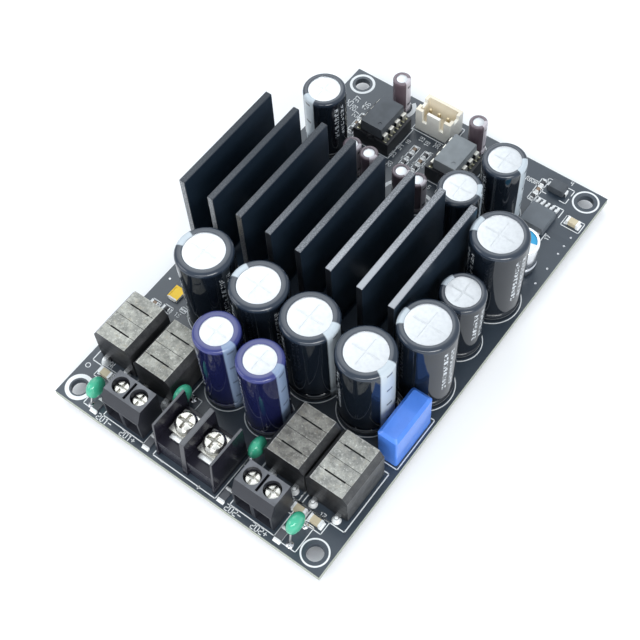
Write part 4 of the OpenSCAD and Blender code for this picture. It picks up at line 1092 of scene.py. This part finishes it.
# Number, place, height and turn.
NUMBERS = (
    ("31", 7.6, -53.0, 1.0, 90), ("32", -29.6, -45.4, 1.0, 90), ("12", 28.1, -46.2, 1.0, 0),
    ("7", 22.4, -44.9, 1.1, 0), ("22", 18.0, 50.8, 0.9, 90), ("23", 19.2, 50.8, 0.9, 90),
    ("24", 20.4, 50.8, 0.9, 90), ("4", 26.6, 55.4, 1.0, 0), ("17", 30.6, 38.6, 1.0, 90),
    ("16", -28.0, 46.6, 0.9, 0), ("5", -0.6, 35.2, 1.0, 0), ("8", -10.8, 39.0, 0.9, 0),
    ("9", -7.6, 39.0, 0.9, 0), ("10", -11.8, 43.6, 0.9, 90), ("11", -5.2, 43.6, 0.9, 90),
    ("14", -30.4, -24.0, 0.9, 0), ("15", -27.2, -26.9, 1.0, 0), ("18", -7.6, 45.6, 1.1, 90),
    ("19", -9.4, 46.0, 1.1, 90), ("20", -11.6, 35.4, 1.1, 90), ("6", -6.9, 37.6, 1.0, 90),
    ("25", -30.6, 45.2, 1.4, 90), ("26", -26.6, 47.0, 1.4, 90), ("27", -27.2, 43.2, 1.3, 90),
    ("28", -28.8, 44.6, 1.3, 90), ("33", -12.6, 38.2, 1.2, 90), ("34", -12.4, 41.0, 1.2, 90),
    ("35", -5.0, 39.6, 1.2, 90), ("36", -5.2, 46.4, 1.2, 90), ("37", -29.8, 47.4, 1.3, 90))
for x, y in EMPTY_PADS:
    outline(tool, (Vector((x - 0.6, y - 0.45)), Vector((x + 0.6, y + 0.45))), 0.2, 0.2)
    stroke(tool, (x - 0.45, y), (x - 0.3, y), 0.5)
    stroke(tool, (x + 0.3, y), (x + 0.45, y), 0.5)
for end in ((1.6, 36.3), (2.8, 35.2)):
    stroke(tool, (1.6, 35.2), end, 0.2)
for text, x, y in LABELS:
    write(tool, text, x, y, 1.35, 0, 0.2)
for row in NUMBERS:
    write(tool, *row, 0.17)
ink = moulded("white_ink", (0.80, 0.82, 0.82), 0.6, 12.0, 0.2, 0.0)
bmesh.ops.recalc_face_normals(tool, faces=tool.faces)
printed = new_piece("board_print", tool, [ink])
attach(printed, "board")
print("print faces", len(printed.data.polygons))

# %% [markdown]
# ## Solder and vias
# Every lead ends in a small cone of solder under the board, and surface parts sit in a film of it on
# their pads. A cone is turned with the same lathe as the cans. Vias are the small plated dots that carry
# a track from one side to the other.

# %% Solder the leads
THROUGH = CAN_NODES + ["polymer_capacitor", "film_capacitor", "snubber_capacitors", "supply_strip_contacts",
                       "left_terminal_contacts", "right_terminal_contacts", "input_pins",
                       "op_amp_socket_1", "op_amp_socket_2"] + INDUCTORS
# Radii and heights above the board, in mm, of the tall cones that fill the inductors' tabs.
TAB_CONE = [(0, 0), (1.05, 0), (1.03, 0.08), (0.85, 0.6), (0.62, 1.2), (0.3, 1.5), (0, 1.55)]
tool = bmesh.new()
joints = [(x, y, r) for node in THROUGH for (x, y), r in lead_ends(node)]
for x, y, r in joints:
    rows = [(0, 0.9), (r + 0.05, 0.9), (r + 0.16, 1.35), (r + 0.38, 1.75),
            (r + 0.65, UNDER_MM - 0.04), (r + 0.68, UNDER_MM), (0, UNDER_MM)]
    spin(tool, (x, y, 0), rows, [0] * 6, 16)
for (x, y), r in lead_ends("snubber_capacitors"):
    rows = [(0, 0), (r + 0.6, 0), (r + 0.58, 0.04), (r + 0.12, 0.2), (0, 0.35)]
    spin(tool, (x, y, 0), [(out, TOP_MM + up) for out, up in rows], [0] * 4, 20)
for node in INDUCTORS:
    for (x, y), r in lead_ends(node):
        spin(tool, (x, y, 0), [(out, TOP_MM + up) for out, up in TAB_CONE], [1] * 6, 24)
print("solder joints", len(joints))

# %% Solder the pads and plate the vias
PAD_SIDE, PAD_UNDER = 0.08, 0.35
VIAS = [(34.6, 42.3), (34.5, 39.4), (34.5, 36.8), (34.6, 31.9), (34.5, 27.0), (-34.3, -20.0), (-34.2, 2.0),
        (-10.2, 41.8), (-6.4, 41.8), (31.5, -24.0), (33.0, 5.0), (-33.0, 30.5), (9.0, -44.5)]


def pads(low, high, grow):
    """Two pads under the ends of a chip that lies along x or y, as (x0, y0, x1, y1) in mm."""
    if high.x - low.x > high.y - low.y:
        y0, y1 = low.y - PAD_SIDE, high.y + PAD_SIDE
        return (low.x - grow, y0, low.x + PAD_UNDER, y1), (high.x - PAD_UNDER, y0, high.x + grow, y1)
    x0, x1 = low.x - PAD_SIDE, high.x + PAD_SIDE
    return (x0, low.y - grow, x1, low.y + PAD_UNDER), (x0, high.y - PAD_UNDER, x1, high.y + grow)


for node in ("ceramic_capacitors", "chip_resistors"):
    for low, high in islands(node):
        for pad in pads(low, high, 0.35 if max(high - low) > LARGE_CHIP else 0.3):
            block(tool, *pad, TOP_MM - 0.01, TOP_MM + 0.05, 1)
for x, y in VIAS:
    ring(tool, x, y, 0.17, 0.15, 0, 360, TOP_MM - 0.01, TOP_MM + 0.02)
    ring(tool, x, y, 0.17, 0.15, 0, 360, UNDER_MM - 0.02, UNDER_MM + 0.01)
bmesh.ops.recalc_face_normals(tool, faces=tool.faces)
soldered = new_piece("solder_joints", tool, [solder, bright_solder], 60)
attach(soldered, "board")
print("solder faces", len(soldered.data.polygons))

# %% [markdown]
# ## Floor and light
# The board lies on white paper under a broad, soft light from above and behind, which makes the can tops
# nearly white and throws only a faint shadow to the front. The floor is white to the camera and greyer to
# every other ray, so it doesn't flood the board with bounced light. Far away it glows a little, so that
# no grey band shows at the horizon.

# %% Floor
PAPER, PAPER_BOUNCE = (0.97, 0.97, 0.97), (0.70, 0.71, 0.71)
GLOW_NEAR, GLOW_FAR = (0.06, 0.06, 0.06), (0.5, 0.48, 0.46)
FLOOR_HALF = 4


def floor_finish():
    f = Finish("paper_floor")
    seen, shiny = (f.node("LightPath", out=n) for n in ("Is Camera Ray", "Is Glossy Ray"))
    x, y, _ = f.axes()
    far = ((x * x + y * y) ** 0.5).over(220, 900)
    glow = f.mix(far, GLOW_NEAR, GLOW_FAR)
    return f.wear(base_color=f.mix(seen | shiny, PAPER_BOUNCE, PAPER), roughness=0.9, specular_ior_level=0.0,
                  emission_color=f.mix(seen, (0, 0, 0), glow), emission_strength=1.0)


tool = bmesh.new()
tool.faces.new([tool.verts.new((x * FLOOR_HALF, y * FLOOR_HALF, 0))
                for x, y in ((-1, -1), (1, -1), (1, 1), (-1, 1))])
floor = new_piece("floor", tool, [floor_finish()])
print("floor", FLOOR_HALF * 2, "m wide")

# %% [markdown]
# ### Lamps and world
# Four soft lamps stand round the board. The long, thin one in front puts the narrow highlights on the
# cans. The world fills the shadows with a cool grey, and only the camera sees it as white.

# %% Lamps
# Name, place, aim, size, watts and tint.
LAMPS = (("key_softbox", (-0.59, 0.42, 0.78), (0, 0, 0), (0.96, 0.96), 3.3, (0.94, 0.985, 1.0)),
         ("right_fill", (0.70, -0.45, 0.50), (0, 0, 0.01), (0.5, 0.5), 2.4),
         ("left_fill", (-0.55, -0.55, 0.45), (0, 0, 0.01), (0.5, 0.5), 1.5),
         ("front_strip", (0.48, -0.58, 0.44), (0, 0, 0.02), (1.2, 0.15), 3.4))


def softbox(name, place, aim, size, watts, tint=(1, 1, 1)):
    lamp = bpy.data.lights.new(name, "AREA")
    lamp.shape, lamp.energy, lamp.color = "ELLIPSE", watts, tint
    lamp.size, lamp.size_y = size
    holder = bpy.data.objects.new(name, lamp)
    holder.location = place
    holder.rotation_euler = (Vector(aim) - Vector(place)).to_track_quat("-Z", "Y").to_euler()
    link(holder)
    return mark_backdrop(holder)


for row in LAMPS:
    softbox(*row)
print("lamps", len(LAMPS))

# %% World
WORLD_FILL = (0.75, 0.81, 0.88)
world = bpy.data.worlds.new("studio")
world.use_nodes = True
sky = Tree(world.node_tree)
seen = sky.node("LightPath", out="Is Camera Ray")
fill = sky.node("Background", {"Color": WORLD_FILL})
white = sky.node("Background", {"Color": (1, 1, 1)})
shown = sky.node("MixShader", {0: seen, 1: fill, 2: white})
sky.feed(world.node_tree.nodes["World Output"].inputs["Surface"], shown)
bpy.context.scene.world = world
bpy.context.scene.view_settings.view_transform = "Standard"
print("world ready")
